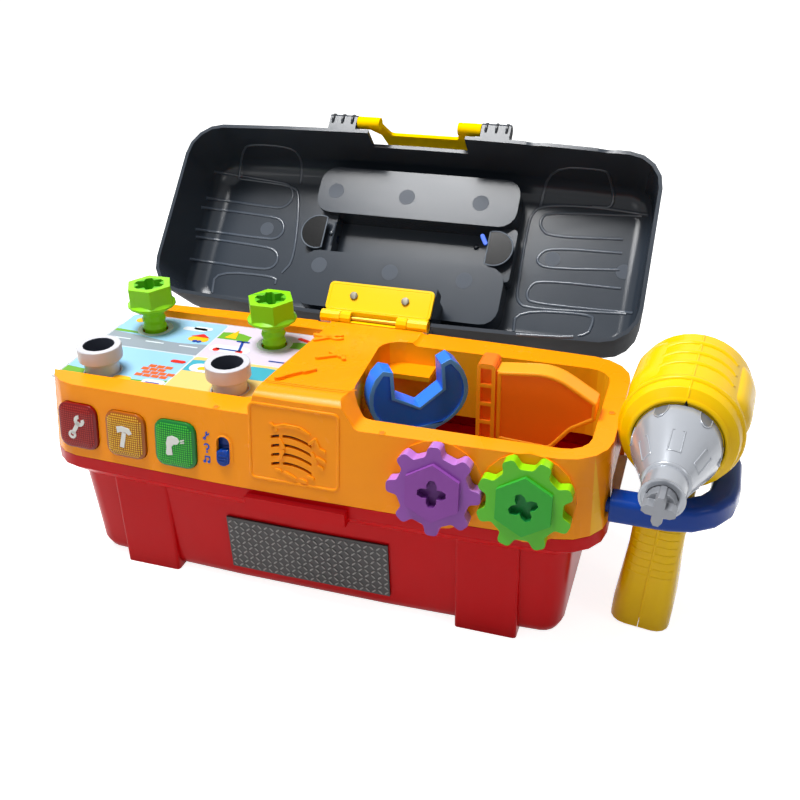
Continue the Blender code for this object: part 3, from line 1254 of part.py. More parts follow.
def build_hinge():
    """The bracket stays on the tray; the leaf and its barrels turn with the lid."""
    frame = Matrix.Translation(PIVOT)
    barrel = along_x(prism([circle(BARREL_RADIUS, SMALL_STEPS)], -KNUCKLE_HALF, KNUCKLE_HALF))
    bracket = piece("hinge_bracket", barrel, "bright_yellow", frame)
    plate = box_mesh(
        (-KNUCKLE_HALF, BRACKET_SETBACK, -BRACKET_DROP), (KNUCKLE_HALF, BRACKET_SETBACK + LEAF_THICKNESS, 0),
    )
    join(bracket, cutter("bracket_plate", plate, frame))
    bore = along_x(
        prism([circle(PIN_RADIUS + GAP, SMALL_STEPS)], -BARREL_HALF - OVERRUN, BARREL_HALF + OVERRUN)
    )
    window = box_mesh((-WINDOW_HALF, -OVERRUN, GAP - PIN_RADIUS), (WINDOW_HALF, PIN_RADIUS + GAP, OVERRUN))
    cut(bracket, cutter("bracket_bore", bore, frame), cutter("bracket_window", window, frame))
    pin = along_x(prism([circle(PIN_RADIUS, SMALL_STEPS)], GAP - BARREL_HALF, BARREL_HALF - GAP))
    piece("hinge_pin", pin, "steel", frame)
    frame = lid_frame()
    low = KNUCKLE_HALF + GAP
    barrels = together(*[
        along_x(
            prism(
                [circle(BARREL_RADIUS, SMALL_STEPS)], min(side * low, side * BARREL_HALF),
                max(side * low, side * BARREL_HALF),
            )
        )
        for side in (-1, 1)
    ])
    outline = rectangle(GAP - BARREL_HALF, BARREL_HALF - GAP, -LEAF_REACH, -BARREL_RADIUS - GAP, LEAF_CORNER)
    leaf = piece(
        "hinge_leaf", prism([outline], LEAF_LIFT, LEAF_LIFT + LEAF_THICKNESS), "bright_yellow", frame,
    )
    arms = together(*[
        box_mesh(
            (min(side * low, side * (BARREL_HALF - LEAF_CORNER)), -BARREL_RADIUS - LEAF_CORNER, LEAF_LIFT),
            (
                max(side * low, side * (BARREL_HALF - LEAF_CORNER)), -PIN_RADIUS - LEAF_LIFT,
                LEAF_LIFT + LEAF_THICKNESS,
            ),
        )
        for side in (-1, 1)
    ])
    join(leaf, cutter("leaf_arms", arms, frame), cutter("leaf_barrels", barrels, frame))
    cut(leaf, cutter("leaf_bore", bore.copy(), frame))
    holes = []
    for side, label in ((-1, "left"), (1, "right")):
        outline = circle(HINGE_SCREW_SHANK + GAP, SMALL_STEPS, (side * HINGE_SCREW_X, -HINGE_SCREW_REACH))
        holes.append(prism([outline], -OVERRUN, LEAF_LIFT + HINGE_SCREW_LENGTH + GAP))
        top = LEAF_LIFT + HINGE_SCREW_LENGTH
        head = LEAF_LIFT - GAP
        profile = [
            (0, top), (HINGE_SCREW_SHANK, top), (HINGE_SCREW_SHANK, head), (HINGE_SCREW_HEAD, head),
            (HINGE_SCREW_HEAD, head - HINGE_SCREW_HEAD_HEIGHT), (0, head - HINGE_SCREW_HEAD_HEIGHT),
        ]
        place = frame @ Matrix.Translation((side * HINGE_SCREW_X, -HINGE_SCREW_REACH, 0))
        piece("hinge_screw_" + label, turned("screw", profile, SMALL_STEPS), "steel", place)
    drills = cutter("leaf_holes", together(*holes), frame)
    cut(leaf, drills)
    return drills


def lid_plan(inset):
    half = LID_HALF - inset
    return plan(half, inset - LID_FRONT, -LID_BACK - inset, max(LID_CORNER - inset, LID_DRAFT))


def lid_rings(inset, top, rim):
    """Rings from the rim up the drafted wall and round the shoulder."""
    rings = [ring(lid_plan(inset), rim)]
    start = top - LID_SHOULDER
    for step in range(LID_SHOULDER_STEPS + 1):
        angle = math.pi / 2 * step / LID_SHOULDER_STEPS
        shrink = inset + LID_DRAFT + LID_SHOULDER_INSET * (1 - math.cos(angle))
        rings.append(ring(lid_plan(shrink), start + LID_SHOULDER * math.sin(angle)))
    return rings


def bar_outlines(grow):
    reach = BAR_HALF + grow
    near = rectangle(-reach, reach, -BAR_NEAR_HIGH - grow, grow - BAR_NEAR_LOW, BAR_CORNER + grow)
    far = rectangle(-reach, reach, -BAR_FAR_HIGH - grow, grow - BAR_FAR_LOW, BAR_CORNER + grow)
    return near, far


def pocket_outlines(grow):
    inner = POCKET_INNER - grow
    outer = POCKET_REACH + grow
    low = -HANDLE_PIVOT_REACH - POCKET_WIDTH / 2 - grow
    high = -BAR_NEAR_HIGH + POCKET_OVERLAP + grow
    return rectangle(-outer, -inner, low, high, LEAF_CORNER), rectangle(inner, outer, low, high, LEAF_CORNER)


def build_lid(leaf_holes):
    frame = lid_frame()
    top = LID_HEIGHT - LID_RIM
    outside = lid_rings(0, top, -LID_RIM)
    inside = lid_rings(LID_SKIN, top - LID_SKIN, -LID_RIM)
    lid = piece("lid_shell", smooth(loft(list(reversed(inside)) + outside)), "lid_grey", frame)
    ceiling = top - LID_SKIN / 2
    bars = [prism([outline], BAR_DEPTH, ceiling) for outline in bar_outlines(LID_SKIN)]
    join(lid, cutter("bars", together(*bars), frame))
    floor = HANDLE_Z - HANDLE_THICKNESS / 2 - HANDLE_CLEAR
    pockets = [prism([outline], floor - LID_SKIN, ceiling) for outline in pocket_outlines(LID_SKIN)]
    join(lid, cutter("pockets", together(*pockets), frame))
    shelf = box_mesh(
        (-BARREL_HALF, -LEAF_REACH - LEAF_CORNER, LEAF_SEAT),
        (BARREL_HALF, -LEAF_CORNER / 3, LEAF_SEAT + LEAF_PAD),
    )
    ribs = [
        box_mesh((x - WALL / 2, -LEAF_REACH, LEAF_SEAT), (x + WALL / 2, -LEAF_CORNER / 2, ceiling))
        for x in (WALL - BARREL_HALF, 0, BARREL_HALF - WALL)
    ]
    screw_bosses = [
        moved(
            prism([circle(CASE_SCREW_HEAD, SMALL_STEPS)], LEAF_SEAT + WALL / 2, LEAF_SEAT + HINGE_BOSS),
            side * HINGE_SCREW_X, -HINGE_SCREW_REACH, 0,
        )
        for side in (-1, 1)
    ]
    join(lid, cutter("leaf_shelf", shelf, frame), cutter("leaf_ribs", together(*ribs), frame))
    join(lid, cutter("leaf_bosses", together(*screw_bosses), frame))
    lugs = []
    for side in (-1, 1):
        low = LATCH_BARREL_OUTER + GAP
        inner_x = min(side * low, side * LATCH_LUG_OUTER)
        outer_x = max(side * low, side * LATCH_LUG_OUTER)
        outline = rounded((
            (LID_SKIN / 2 - LID_FRONT - CASE_BOW, -LID_RIM, 0),
            (LID_SKIN / 2 - LID_FRONT - CASE_BOW, LATCH_LUG_TOP, 0),
            (
                -LATCH_PIVOT_REACH - LATCH_BARREL_RADIUS, LATCH_PIVOT_HEIGHT + LATCH_BARREL_RADIUS,
                LATCH_BARREL_RADIUS * LUG_BEND_SHARE,
            ),
            (-LATCH_PIVOT_REACH - LATCH_BARREL_RADIUS, -LID_RIM, LATCH_BARREL_RADIUS * LUG_TOE_SHARE),
        ))
        lugs.append(sideways(prism([outline], inner_x, outer_x)))
    join(lid, cutter("lugs", together(*lugs), frame))
    inner_bars = [prism([outline], BAR_DEPTH + LID_SKIN, top + OVERRUN) for outline in bar_outlines(0)]
    cut(lid, cutter("bar_recesses", together(*inner_bars), frame))
    inner_pockets = [prism([outline], floor, top + OVERRUN) for outline in pocket_outlines(0)]
    cut(lid, cutter("pocket_recesses", together(*inner_pockets), frame))
    notch = box_mesh(
        (-LID_NOTCH_HALF, -LID_FRONT - OVERRUN, -OVERRUN),
        (LID_NOTCH_HALF, -LID_FRONT + 2 * LID_SHOULDER, LID_NOTCH_HEIGHT - LID_RIM),
    )
    clear = box_mesh(
        (-HINGE_CLEAR_HALF, -HINGE_CLEAR_BACK, -OVERRUN), (HINGE_CLEAR_HALF, OVERRUN, HINGE_CLEAR_HEIGHT),
    )
    reach = HANDLE_TRUNNION_HALF + GAP
    bore = prism([circle(HANDLE_TRUNNION_RADIUS + GAP, SMALL_STEPS)], -reach, reach)
    cut(lid, cutter("notch", together(notch, clear), frame))
    cut(lid, cutter("trunnions", moved(along_x(bore), 0, -HANDLE_PIVOT_REACH, HANDLE_Z), frame))
    pin_bores = []
    for side in (-1, 1):
        bore = prism(
            [circle(LATCH_PIN_RADIUS + GAP, SMALL_STEPS)], -LATCH_PIN_HALF / 2 - GAP,
            LATCH_PIN_HALF / 2 + GAP,
        )
        pin_bores.append(
            moved(along_x(bore), side * LATCH_PIN_MIDDLE, -LATCH_PIVOT_REACH, LATCH_PIVOT_HEIGHT)
        )
    cut(lid, cutter("lug_bores", together(*pin_bores), frame))
    cut(lid, leaf_holes)
    closed = Matrix.Translation(-PIVOT)
    relief = GEAR_OFFSET + GEAR_THICKNESS + OVERRUN
    for side, label in ((-1, "left"), (1, "right")):
        sweep = prism([circle(GEAR_TIP + 2 * GAP, 2 * ROUND_STEPS)], -OVERRUN, relief)
        cut(lid, cutter("gear_relief_" + label, placed(sweep, closed @ gear_frame(side)), frame))
    handle = frame @ Matrix.Translation((0, -HANDLE_PIVOT_REACH, HANDLE_Z))
    outer = HANDLE_BAR_HALF + HANDLE_ARM_WIDTH
    bend = rounded((
        (-outer, -HANDLE_ARM_WIDTH / 2, 0), (HANDLE_ARM_WIDTH - outer, -HANDLE_ARM_WIDTH / 2, 0),
        (HANDLE_ARM_WIDTH - outer, HANDLE_ARM - HANDLE_BAR_WIDTH / 2, HANDLE_ARM_WIDTH / 2),
        (outer - HANDLE_ARM_WIDTH, HANDLE_ARM - HANDLE_BAR_WIDTH / 2, HANDLE_ARM_WIDTH / 2),
        (outer - HANDLE_ARM_WIDTH, -HANDLE_ARM_WIDTH / 2, 0), (outer, -HANDLE_ARM_WIDTH / 2, 0),
        (outer, HANDLE_ARM + HANDLE_BAR_WIDTH / 2, HANDLE_ARM_WIDTH),
        (-outer, HANDLE_ARM + HANDLE_BAR_WIDTH / 2, HANDLE_ARM_WIDTH),
    ), 3)
    grip = piece(
        "carry_handle", prism([bend], -HANDLE_THICKNESS / 2, HANDLE_THICKNESS / 2), "tool_blue", handle,
    )
    studs = together(*[
        along_x(
            prism(
                [circle(HANDLE_TRUNNION_RADIUS, SMALL_STEPS)], min(side * low, side * high),
                max(side * low, side * high),
            )
        )
        for side in (-1, 1) for low, high in ((HANDLE_BAR_HALF + HANDLE_ARM_WIDTH / 2, HANDLE_TRUNNION_HALF),)
    ])
    join(grip, cutter("handle_studs", studs, handle))


def build_latch():
    frame = lid_frame() @ Matrix.Translation((0, -LATCH_PIVOT_REACH, LATCH_PIVOT_HEIGHT))
    latch_frame = frame @ Matrix.Rotation(-LATCH_SWING, 4, "X")
    outline = rounded((
        (-LATCH_BARREL_OUTER, 0, 0), (-LATCH_HALF, -LATCH_NECK, LEAF_CORNER),
        (-LATCH_HALF, -LATCH_LENGTH, LEAF_CORNER),
        (LATCH_HALF, -LATCH_LENGTH, LEAF_CORNER), (LATCH_HALF, -LATCH_NECK, LEAF_CORNER),
        (LATCH_BARREL_OUTER, 0, 0),
        (LATCH_BARREL_INNER, 0, 0), (LATCH_NECK_INNER, -LATCH_NECK, LEAF_CORNER),
        (-LATCH_NECK_INNER, -LATCH_NECK, LEAF_CORNER),
        (-LATCH_BARREL_INNER, 0, 0),
    ))
    plate = upright(prism([outline], -LATCH_THICKNESS / 2, LATCH_THICKNESS / 2))
    latch = piece("latch", plate, "bright_yellow", latch_frame)
    low = LATCH_BARREL_INNER
    barrels = together(*[
        along_x(
            prism(
                [circle(LATCH_BARREL_RADIUS, 16)], min(side * low, side * LATCH_BARREL_OUTER),
                max(side * low, side * LATCH_BARREL_OUTER),
            )
        )
        for side in (-1, 1)
    ])
    join(latch, cutter("latch_barrels", barrels, latch_frame))
    bores = []
    for side, label in ((-1, "left"), (1, "right")):
        bore = prism(
            [circle(LATCH_PIN_RADIUS + GAP, SMALL_STEPS)], -LATCH_PIN_HALF / 2 - GAP,
            LATCH_PIN_HALF / 2 + GAP,
        )
        bores.append(moved(along_x(bore), side * LATCH_PIN_MIDDLE, 0, 0))
        pin = along_x(prism([circle(LATCH_PIN_RADIUS, SMALL_STEPS)], -LATCH_PIN_HALF / 2, LATCH_PIN_HALF / 2))
        piece("latch_pin_" + label, pin, "steel", frame @ Matrix.Translation((side * LATCH_PIN_MIDDLE, 0, 0)))
    cut(latch, cutter("latch_bores", together(*bores), latch_frame))


def build_wrench():
    turn = Matrix.Rotation(WRENCH_YAW, 4, "Z") @ Matrix.Rotation(-WRENCH_TILT, 4, "Y")
    frame = Matrix.Translation((WRENCH_X, WRENCH_Y, SEAM_HEIGHT + WRENCH_HEIGHT)) @ turn
    arc = []
    start = math.asin(WRENCH_JAW_TIP / WRENCH_RADIUS)
    finish = math.asin(WRENCH_HANDLE_HALF / WRENCH_RADIUS)
    for step in range(ROUND_STEPS // 2 + 1):
        angle = start + (math.pi - finish - start) * step / (ROUND_STEPS // 2)
        rise = WRENCH_RADIUS if angle < math.pi / 2 else WRENCH_BELLY
        arc.append(Vector((WRENCH_RADIUS * math.sin(angle), rise * math.cos(angle))))
    tip = Vector((WRENCH_TIP_CORNER, WRENCH_JAW_LIFT + WRENCH_TIP_RISE))
    toe = WRENCH_HANDLE_HALF / 2
    drop = SEAM_HEIGHT + WRENCH_HEIGHT - FLOOR_TOP - GAP
    reach = (drop - toe * math.sin(WRENCH_TILT)) / math.cos(WRENCH_TILT)
    right = [Vector((WRENCH_JAW_HALF, WRENCH_JAW_LIFT)), tip, *arc]
    right += [Vector((WRENCH_HANDLE_HALF, toe - reach)), Vector((toe, -reach))]
    left = [Vector((-point.x, point.y)) for point in reversed(right)]
    outline = right + left + [
        Vector((-WRENCH_JAW_HALF, WRENCH_JAW_DEPTH)), Vector((0, WRENCH_JAW_DEPTH - WRENCH_JAW_VALLEY)),
        Vector((WRENCH_JAW_HALF, WRENCH_JAW_DEPTH)),
    ]
    half = WRENCH_THICKNESS / 2
    wrench = piece("wrench", upright(prism([outline], -half, half)), "tool_blue", frame)
    inner = [point * (1 - WRENCH_RIM / WRENCH_BELLY) for point in arc[1:-1]]
    jaw = WRENCH_JAW_HALF + WRENCH_RIM
    ring_shape = [
        Vector((jaw, WRENCH_JAW_DEPTH - WRENCH_RIM / 2)), Vector((jaw, WRENCH_JAW_LIFT - WRENCH_RIM)),
        Vector((WRENCH_TIP_CORNER, WRENCH_JAW_LIFT - WRENCH_RIM / 2)), *inner,
    ]
    recess = ring_shape + [Vector((-point.x, point.y)) for point in reversed(ring_shape)]
    recess.append(Vector((0, WRENCH_JAW_DEPTH - WRENCH_JAW_VALLEY - WRENCH_RIM)))
    faces = [
        upright(prism([recess], side * half - WRENCH_RECESS, side * half + WRENCH_RECESS))
        for side in (-1, 1)
    ]
    cut(wrench, cutter("wrench_faces", together(*faces), frame))


def build_hammer():
    frame = Matrix.Translation((HAMMER_X, HAMMER_Y, SEAM_HEIGHT))
    face_low = HAMMER_TOP - HAMMER_FACE_HEIGHT
    face = rectangle(-HAMMER_FACE_WIDTH / 2, HAMMER_FACE_WIDTH / 2, face_low, HAMMER_TOP, HAMMER_EDGE)
    half = HAMMER_FACE_THICKNESS / 2
    head = piece("hammer_head", upright(prism([face], -half, half)), "hammer_orange", frame)
    left = HAMMER_FACE_WIDTH / 2 - HAMMER_RIM
    body = rounded((
        (left, face_low + HAMMER_EDGE, 0), (HAMMER_BELLY_X, HAMMER_BELLY_Z, HAMMER_BELLY_BEND),
        (HAMMER_CLAW_X, HAMMER_CLAW_LOW, HAMMER_CLAW_BEND), (HAMMER_REACH, HAMMER_TIP_LOW, 0),
        (HAMMER_REACH, HAMMER_TIP_HIGH, 0), (HAMMER_CROWN_X, HAMMER_CROWN_Z, HAMMER_CROWN_BEND),
        (left, HAMMER_TOP - HAMMER_NAPE, 0),
    ))
    half = HAMMER_HEAD_THICKNESS / 2
    join(head, cutter("hammer_body", upright(prism([body], -half, half)), frame))
    pockets = []
    for side in (-1, 1):
        for share in POCKET_SHARES:
            low = face_low + HAMMER_FACE_HEIGHT * share + HAMMER_RIM / 2
            high = face_low + HAMMER_FACE_HEIGHT * (share + POCKET_STEP_SHARE) - HAMMER_RIM / 2
            shape = rectangle(
                HAMMER_RIM - HAMMER_FACE_WIDTH / 2, HAMMER_FACE_WIDTH / 2 - HAMMER_RIM, low, high, GAP, 1,
            )
            edge = side * HAMMER_FACE_THICKNESS / 2
            pockets.append(upright(prism([shape], edge - HAMMER_RIM, edge + HAMMER_RIM)))
    cut(head, cutter("hammer_pockets", together(*pockets), frame))
    socket_top = face_low + HAMMER_SOCKET_DEPTH
    grip_frame = frame @ Matrix.Translation((HAMMER_GRIP_X, 0, 0))
    bore = prism([circle(HAMMER_TENON + GAP, 16)], face_low - OVERRUN, socket_top + GAP)
    cut(head, cutter("hammer_socket", bore, grip_frame))
    foot = FLOOR_TOP - SEAM_HEIGHT + GAP
    profile = [
        (0, socket_top), (HAMMER_TENON, socket_top), (HAMMER_TENON, HAMMER_BELLY_Z - GAP),
        (HAMMER_GRIP_RADIUS, HAMMER_BELLY_Z - GAP),
        (HAMMER_GRIP_RADIUS, face_low / 3), (HAMMER_GRIP_END, foot + HAMMER_GRIP_END),
        (HAMMER_GRIP_END, foot + HAMMER_RIM),
        (HAMMER_GRIP_RADIUS, foot), (0, foot),
    ]
    piece("hammer_grip", turned("grip", profile, 16), "bright_yellow", grip_frame)


def drill_frame():
    """Frame on the drill axis: Z runs to the nose, X to the right of the box and Y up."""
    turn = Matrix.Rotation(-DRILL_YAW, 4, "Z") @ Matrix.Rotation(DRILL_LEAN, 4, "Y") @ Matrix.Rotation(
        math.pi / 2, 4, "X",
    )
    return Matrix.Translation((DRILL_X, 0, DRILL_AXIS_Z)) @ turn


def drill_body(skin):
    nose = -DRILL_NOSE_Y - skin
    tail = -DRILL_TAIL_Y + skin
    radius = DRILL_RADIUS - skin
    ease = DRILL_NOSE_LENGTH / 3
    return turned("drill_body", [
        (0, nose), (DRILL_MOUTH - skin / 2, nose), (DRILL_WAIST - skin, nose - ease),
        (radius, nose - DRILL_NOSE_LENGTH),
        (radius, tail + DRILL_NOSE_LENGTH / 2), (END_CAP_RADIUS + WALL - skin / 2, tail), (0, tail),
    ], DRILL_STEPS)


def grip_rings(skin):
    rings = []
    low = GRIP_LOW - DRILL_HEIGHT + skin
    stations = (
        (-GRIP_TOP_DROP, GRIP_HALF_TOP, 0), (low / 2 - GRIP_BLEND, GRIP_HALF_TOP, GRIP_SET),
        (low + GRIP_BLEND, GRIP_HALF_END, GRIP_SET / 2), (low, GRIP_HALF_END, 0),
    )
    for height, half, back in stations:
        front_z = -GRIP_FRONT_Y - skin
        back_z = -GRIP_BACK_Y + back + skin
        outline = rectangle(skin - half, half - skin, back_z, front_z, GRIP_CORNER - skin, 4)
        rings.append([(x, height, z) for x, z in outline])
    return rings


def build_drill():
    frame = drill_frame()
    far = 3 * DRILL_RADIUS
    for side, label in ((-1, "left"), (1, "right")):
        shell = piece("drill_shell_" + label, drill_body(0), "bright_yellow", frame)
        join(shell, cutter("grip_" + label, loft(grip_rings(0)), frame))
        cut(shell, cutter("body_room_" + label, drill_body(DRILL_SKIN), frame))
        room = loft(grip_rings(DRILL_SKIN))
        cut(shell, cutter("grip_room_" + label, room, frame))
        mouth = prism([circle(SPINDLE_RADIUS + GAP, SMALL_STEPS)], 0, far)
        gate = box_mesh(
            (-TRIGGER_HALF - GAP, TRIGGER_LOW - DRILL_HEIGHT - GAP, -GRIP_FRONT_Y - TRIGGER_DEPTH),
            (TRIGGER_HALF + GAP, TRIGGER_HIGH - DRILL_HEIGHT + GAP, -GRIP_FRONT_Y + OVERRUN),
        )
        tail = prism([circle(END_CAP_RADIUS - DRILL_SKIN, ROUND_STEPS)], -far, -DRILL_TAIL_Y / 2)
        cut(shell, cutter("drill_openings_" + label, together(mouth, gate, tail), frame))
        edge = side * GAP / 2
        half_space = box_mesh((min(edge, -side * far), -2 * far, -far), (max(edge, -side * far), far, far))
        cut(shell, cutter("split_" + label, half_space, frame))
    tip = -DRILL_NOSE_Y
    profile = [
        (0, tip + GAP + CHUCK_LENGTH + COLLAR_LENGTH - BIT_BORE),
        (BIT_BORE_RADIUS, tip + GAP + CHUCK_LENGTH + COLLAR_LENGTH - BIT_BORE),
        (BIT_BORE_RADIUS, tip + CHUCK_LENGTH + COLLAR_LENGTH),
        (COLLAR_RADIUS, tip + CHUCK_LENGTH + COLLAR_LENGTH),
        (COLLAR_RADIUS, tip + CHUCK_LENGTH), (CHUCK_NECK, tip + CHUCK_LENGTH),
        (CHUCK_RADIUS, tip + CHUCK_LENGTH / 4),
        (CHUCK_RADIUS, tip + GAP), (SPINDLE_RADIUS + GAP, tip + GAP),
        (SPINDLE_RADIUS + GAP, tip + CHUCK_LENGTH / 2),
        (0, tip + CHUCK_LENGTH / 2),
    ]
    piece("drill_chuck", turned("chuck", profile, DRILL_STEPS), "chuck_silver", frame)
    bit_foot = tip + CHUCK_LENGTH + COLLAR_LENGTH - BIT_BORE + 2 * GAP
    bit_top = tip + CHUCK_LENGTH + COLLAR_LENGTH + BIT_LENGTH
    bit = piece(
        "driver_bit", prism([circle(BIT_BORE_RADIUS - GAP, 16)], bit_foot, bit_top - BIT_LENGTH / 2),
        "chuck_silver", frame,
    )
    prongs = prism(
        [cross_outline(BIT_PRONG_REACH - 2 * GAP, BIT_PRONG_RADIUS)], bit_top - BIT_LENGTH + 2 * GAP,
        bit_top,
    )
    join(bit, cutter("bit_prongs", prongs, frame))
    body_front = tip - DRILL_SKIN
    spindle = [
        (0, tip + CHUCK_LENGTH / 2 - GAP), (SPINDLE_RADIUS, tip + CHUCK_LENGTH / 2 - GAP),
        (SPINDLE_RADIUS, body_front - 2 * GAP - SPINDLE_RADIUS), (0, body_front - 2 * GAP - SPINDLE_RADIUS),
    ]
    piece("drill_spindle", turned("spindle", spindle, SMALL_STEPS), "steel", frame)
    box_front = body_front - 3 * GAP - SPINDLE_RADIUS
    gearbox = [
        (0, box_front), (GEARBOX_RADIUS, box_front), (GEARBOX_RADIUS, box_front - GEARBOX_LENGTH),
        (0, box_front - GEARBOX_LENGTH),
    ]
    piece("drill_gearbox", turned("gearbox", gearbox), "dark_plastic", frame)
    motor_front = box_front - GEARBOX_LENGTH - GAP
    motor = [
        (0, motor_front), (MOTOR_RADIUS, motor_front), (MOTOR_RADIUS, motor_front - MOTOR_LENGTH),
        (0, motor_front - MOTOR_LENGTH),
    ]
    piece("drill_motor", turned("motor", motor), "steel", frame)
    cap_in = END_CAP_RADIUS - DRILL_SKIN - GAP
    tail = DRILL_TAIL_Y
    cap = [
        (0, DRILL_SKIN - tail), (cap_in, DRILL_SKIN - tail), (cap_in, -tail - GAP),
        (END_CAP_RADIUS, -tail - GAP),
        (END_CAP_RADIUS - END_CAP_THICKNESS, -tail - END_CAP_THICKNESS), (0, -tail - END_CAP_THICKNESS),
    ]
    piece("drill_end_cap", turned("end_cap", cap), "dark_plastic", frame)
    front = -GRIP_FRONT_Y
    low = TRIGGER_LOW - DRILL_HEIGHT
    high = TRIGGER_HIGH - DRILL_HEIGHT
    outline = rectangle(-TRIGGER_HALF, TRIGGER_HALF, low, high, TRIGGER_HALF / 2, 3)
    trigger = prism([outline], front - TRIGGER_DEPTH, front + TRIGGER_PROUD)
    piece("drill_trigger", trigger, "hammer_orange", frame)
    wide = GRIP_HALF_TOP - DRILL_SKIN - GAP
    switch = box_mesh(
        (-wide, low + TRIGGER_HALF, front - TRIGGER_DEPTH - SWITCH_GAP - SWITCH_DEPTH),
        (wide, high - TRIGGER_HALF, front - TRIGGER_DEPTH - SWITCH_GAP),
    )
    piece("drill_switch", switch, "dark_plastic", frame)
    cell_low = GRIP_LOW - DRILL_HEIGHT + DRILL_SKIN + 2 * GAP
    cell = circle(CELL_RADIUS, SMALL_STEPS)
    battery = prism([cell], cell_low, cell_low + CELL_LENGTH)
    battery.transform(Matrix.Rotation(-math.pi / 2, 4, "X"))
    middle_z = -(GRIP_FRONT_Y + GRIP_BACK_Y) / 2
    piece("drill_cell", moved(battery, 0, 0, middle_z), "cell_black", frame)


clear_scene()
PARTS = make_collection("toy_tool_set")
CUTTERS = make_collection("cutters")
build_tub()
build_label()
build_tray()
build_card()
build_controls()
build_gears()
build_fasteners()
build_holder()
build_lid(build_hinge())
build_latch()
build_wrench()
build_hammer()
build_drill()
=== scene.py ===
"""Looks of the toy tool set: moulded plastics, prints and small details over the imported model.

Metres, in the frame of the model: X along the box, -Y the front, Z up.
"""

import json
import math

import bmesh
import bpy
from mathutils import Matrix, Vector
from mathutils.bvhtree import BVHTree
from mathutils.geometry import tessellate_polygon


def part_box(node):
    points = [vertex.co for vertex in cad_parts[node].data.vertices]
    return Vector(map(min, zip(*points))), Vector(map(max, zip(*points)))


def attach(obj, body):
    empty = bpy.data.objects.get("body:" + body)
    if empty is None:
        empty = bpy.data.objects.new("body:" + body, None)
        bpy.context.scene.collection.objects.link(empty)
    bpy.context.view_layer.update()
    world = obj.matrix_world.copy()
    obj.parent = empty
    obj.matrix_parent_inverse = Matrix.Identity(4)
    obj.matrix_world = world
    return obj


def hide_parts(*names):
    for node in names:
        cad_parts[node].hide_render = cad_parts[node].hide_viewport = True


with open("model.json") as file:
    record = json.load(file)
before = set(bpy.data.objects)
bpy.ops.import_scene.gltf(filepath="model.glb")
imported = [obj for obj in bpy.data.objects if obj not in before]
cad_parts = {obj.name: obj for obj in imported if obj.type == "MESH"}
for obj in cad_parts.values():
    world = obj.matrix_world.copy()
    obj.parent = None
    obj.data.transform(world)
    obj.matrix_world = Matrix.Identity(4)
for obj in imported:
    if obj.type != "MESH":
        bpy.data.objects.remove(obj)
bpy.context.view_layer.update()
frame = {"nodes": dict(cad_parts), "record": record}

MM = 0.001
WELD = 0.00001
FLAT_ANGLE = math.radians(1)
SHARP_ANGLE = math.radians(40)
BEVEL_ANGLE = math.radians(28)
BEVEL_SEGMENTS = 2
SMOOTH_ANGLE = math.radians(80)
COLOUR_VARIATION = 0.05
GRAIN_SCALE = 900
SEAM = 0.078
RAY_START = 0.08


# Materials
def linear(red, green, blue):
    """Scene colour of a screen colour given in 0 to 255."""
    shares = (value / 255 for value in (red, green, blue))
    return tuple(x / 12.92 if x <= 0.04045 else ((x + 0.055) / 1.055) ** 2.4 for x in shares)


def plastic(name, colour, roughness=0.3, grain=0.03, specular=0.16, coat=0, metallic=0):
    """Moulded plastic: slightly uneven colour and gloss, flow marks and a fine skin texture."""
    made = bpy.data.materials.new(name)
    made.use_nodes = True
    tree = made.node_tree
    shader = tree.nodes["Principled BSDF"]
    shader.inputs["Metallic"].default_value = metallic
    shader.inputs["Specular IOR Level"].default_value = specular
    shader.inputs["Coat Weight"].default_value = coat
    shader.inputs["Coat Roughness"].default_value = 0.08
    place = tree.nodes.new("ShaderNodeTexCoord")
    cloud = tree.nodes.new("ShaderNodeTexNoise")
    cloud.inputs["Scale"].default_value = 24
    cloud.inputs["Detail"].default_value = 4
    cloud.inputs["Distortion"].default_value = 0.4
    tree.links.new(place.outputs["Object"], cloud.inputs["Vector"])
    tint = tree.nodes.new("ShaderNodeMixRGB")
    base = linear(*colour)
    tint.inputs["Color1"].default_value = (*[value * (1 - COLOUR_VARIATION) for value in base], 1)
    tint.inputs["Color2"].default_value = (*[min(1, value * (1 + COLOUR_VARIATION)) for value in base], 1)
    tree.links.new(cloud.outputs["Fac"], tint.inputs["Fac"])
    tree.links.new(tint.outputs["Color"], shader.inputs["Base Color"])
    gloss = tree.nodes.new("ShaderNodeMapRange")
    gloss.inputs["To Min"].default_value = roughness * 0.8
    gloss.inputs["To Max"].default_value = roughness * 1.2
    tree.links.new(cloud.outputs["Fac"], gloss.inputs["Value"])
    tree.links.new(gloss.outputs["Result"], shader.inputs["Roughness"])
    speck = tree.nodes.new("ShaderNodeTexNoise")
    speck.inputs["Scale"].default_value = GRAIN_SCALE
    speck.inputs["Detail"].default_value = 2
    tree.links.new(place.outputs["Object"], speck.inputs["Vector"])
    bump = tree.nodes.new("ShaderNodeBump")
    bump.inputs["Strength"].default_value = grain
    bump.inputs["Distance"].default_value = 0.0004
    tree.links.new(speck.outputs["Fac"], bump.inputs["Height"])
    tree.links.new(bump.outputs["Normal"], shader.inputs["Normal"])
    return made


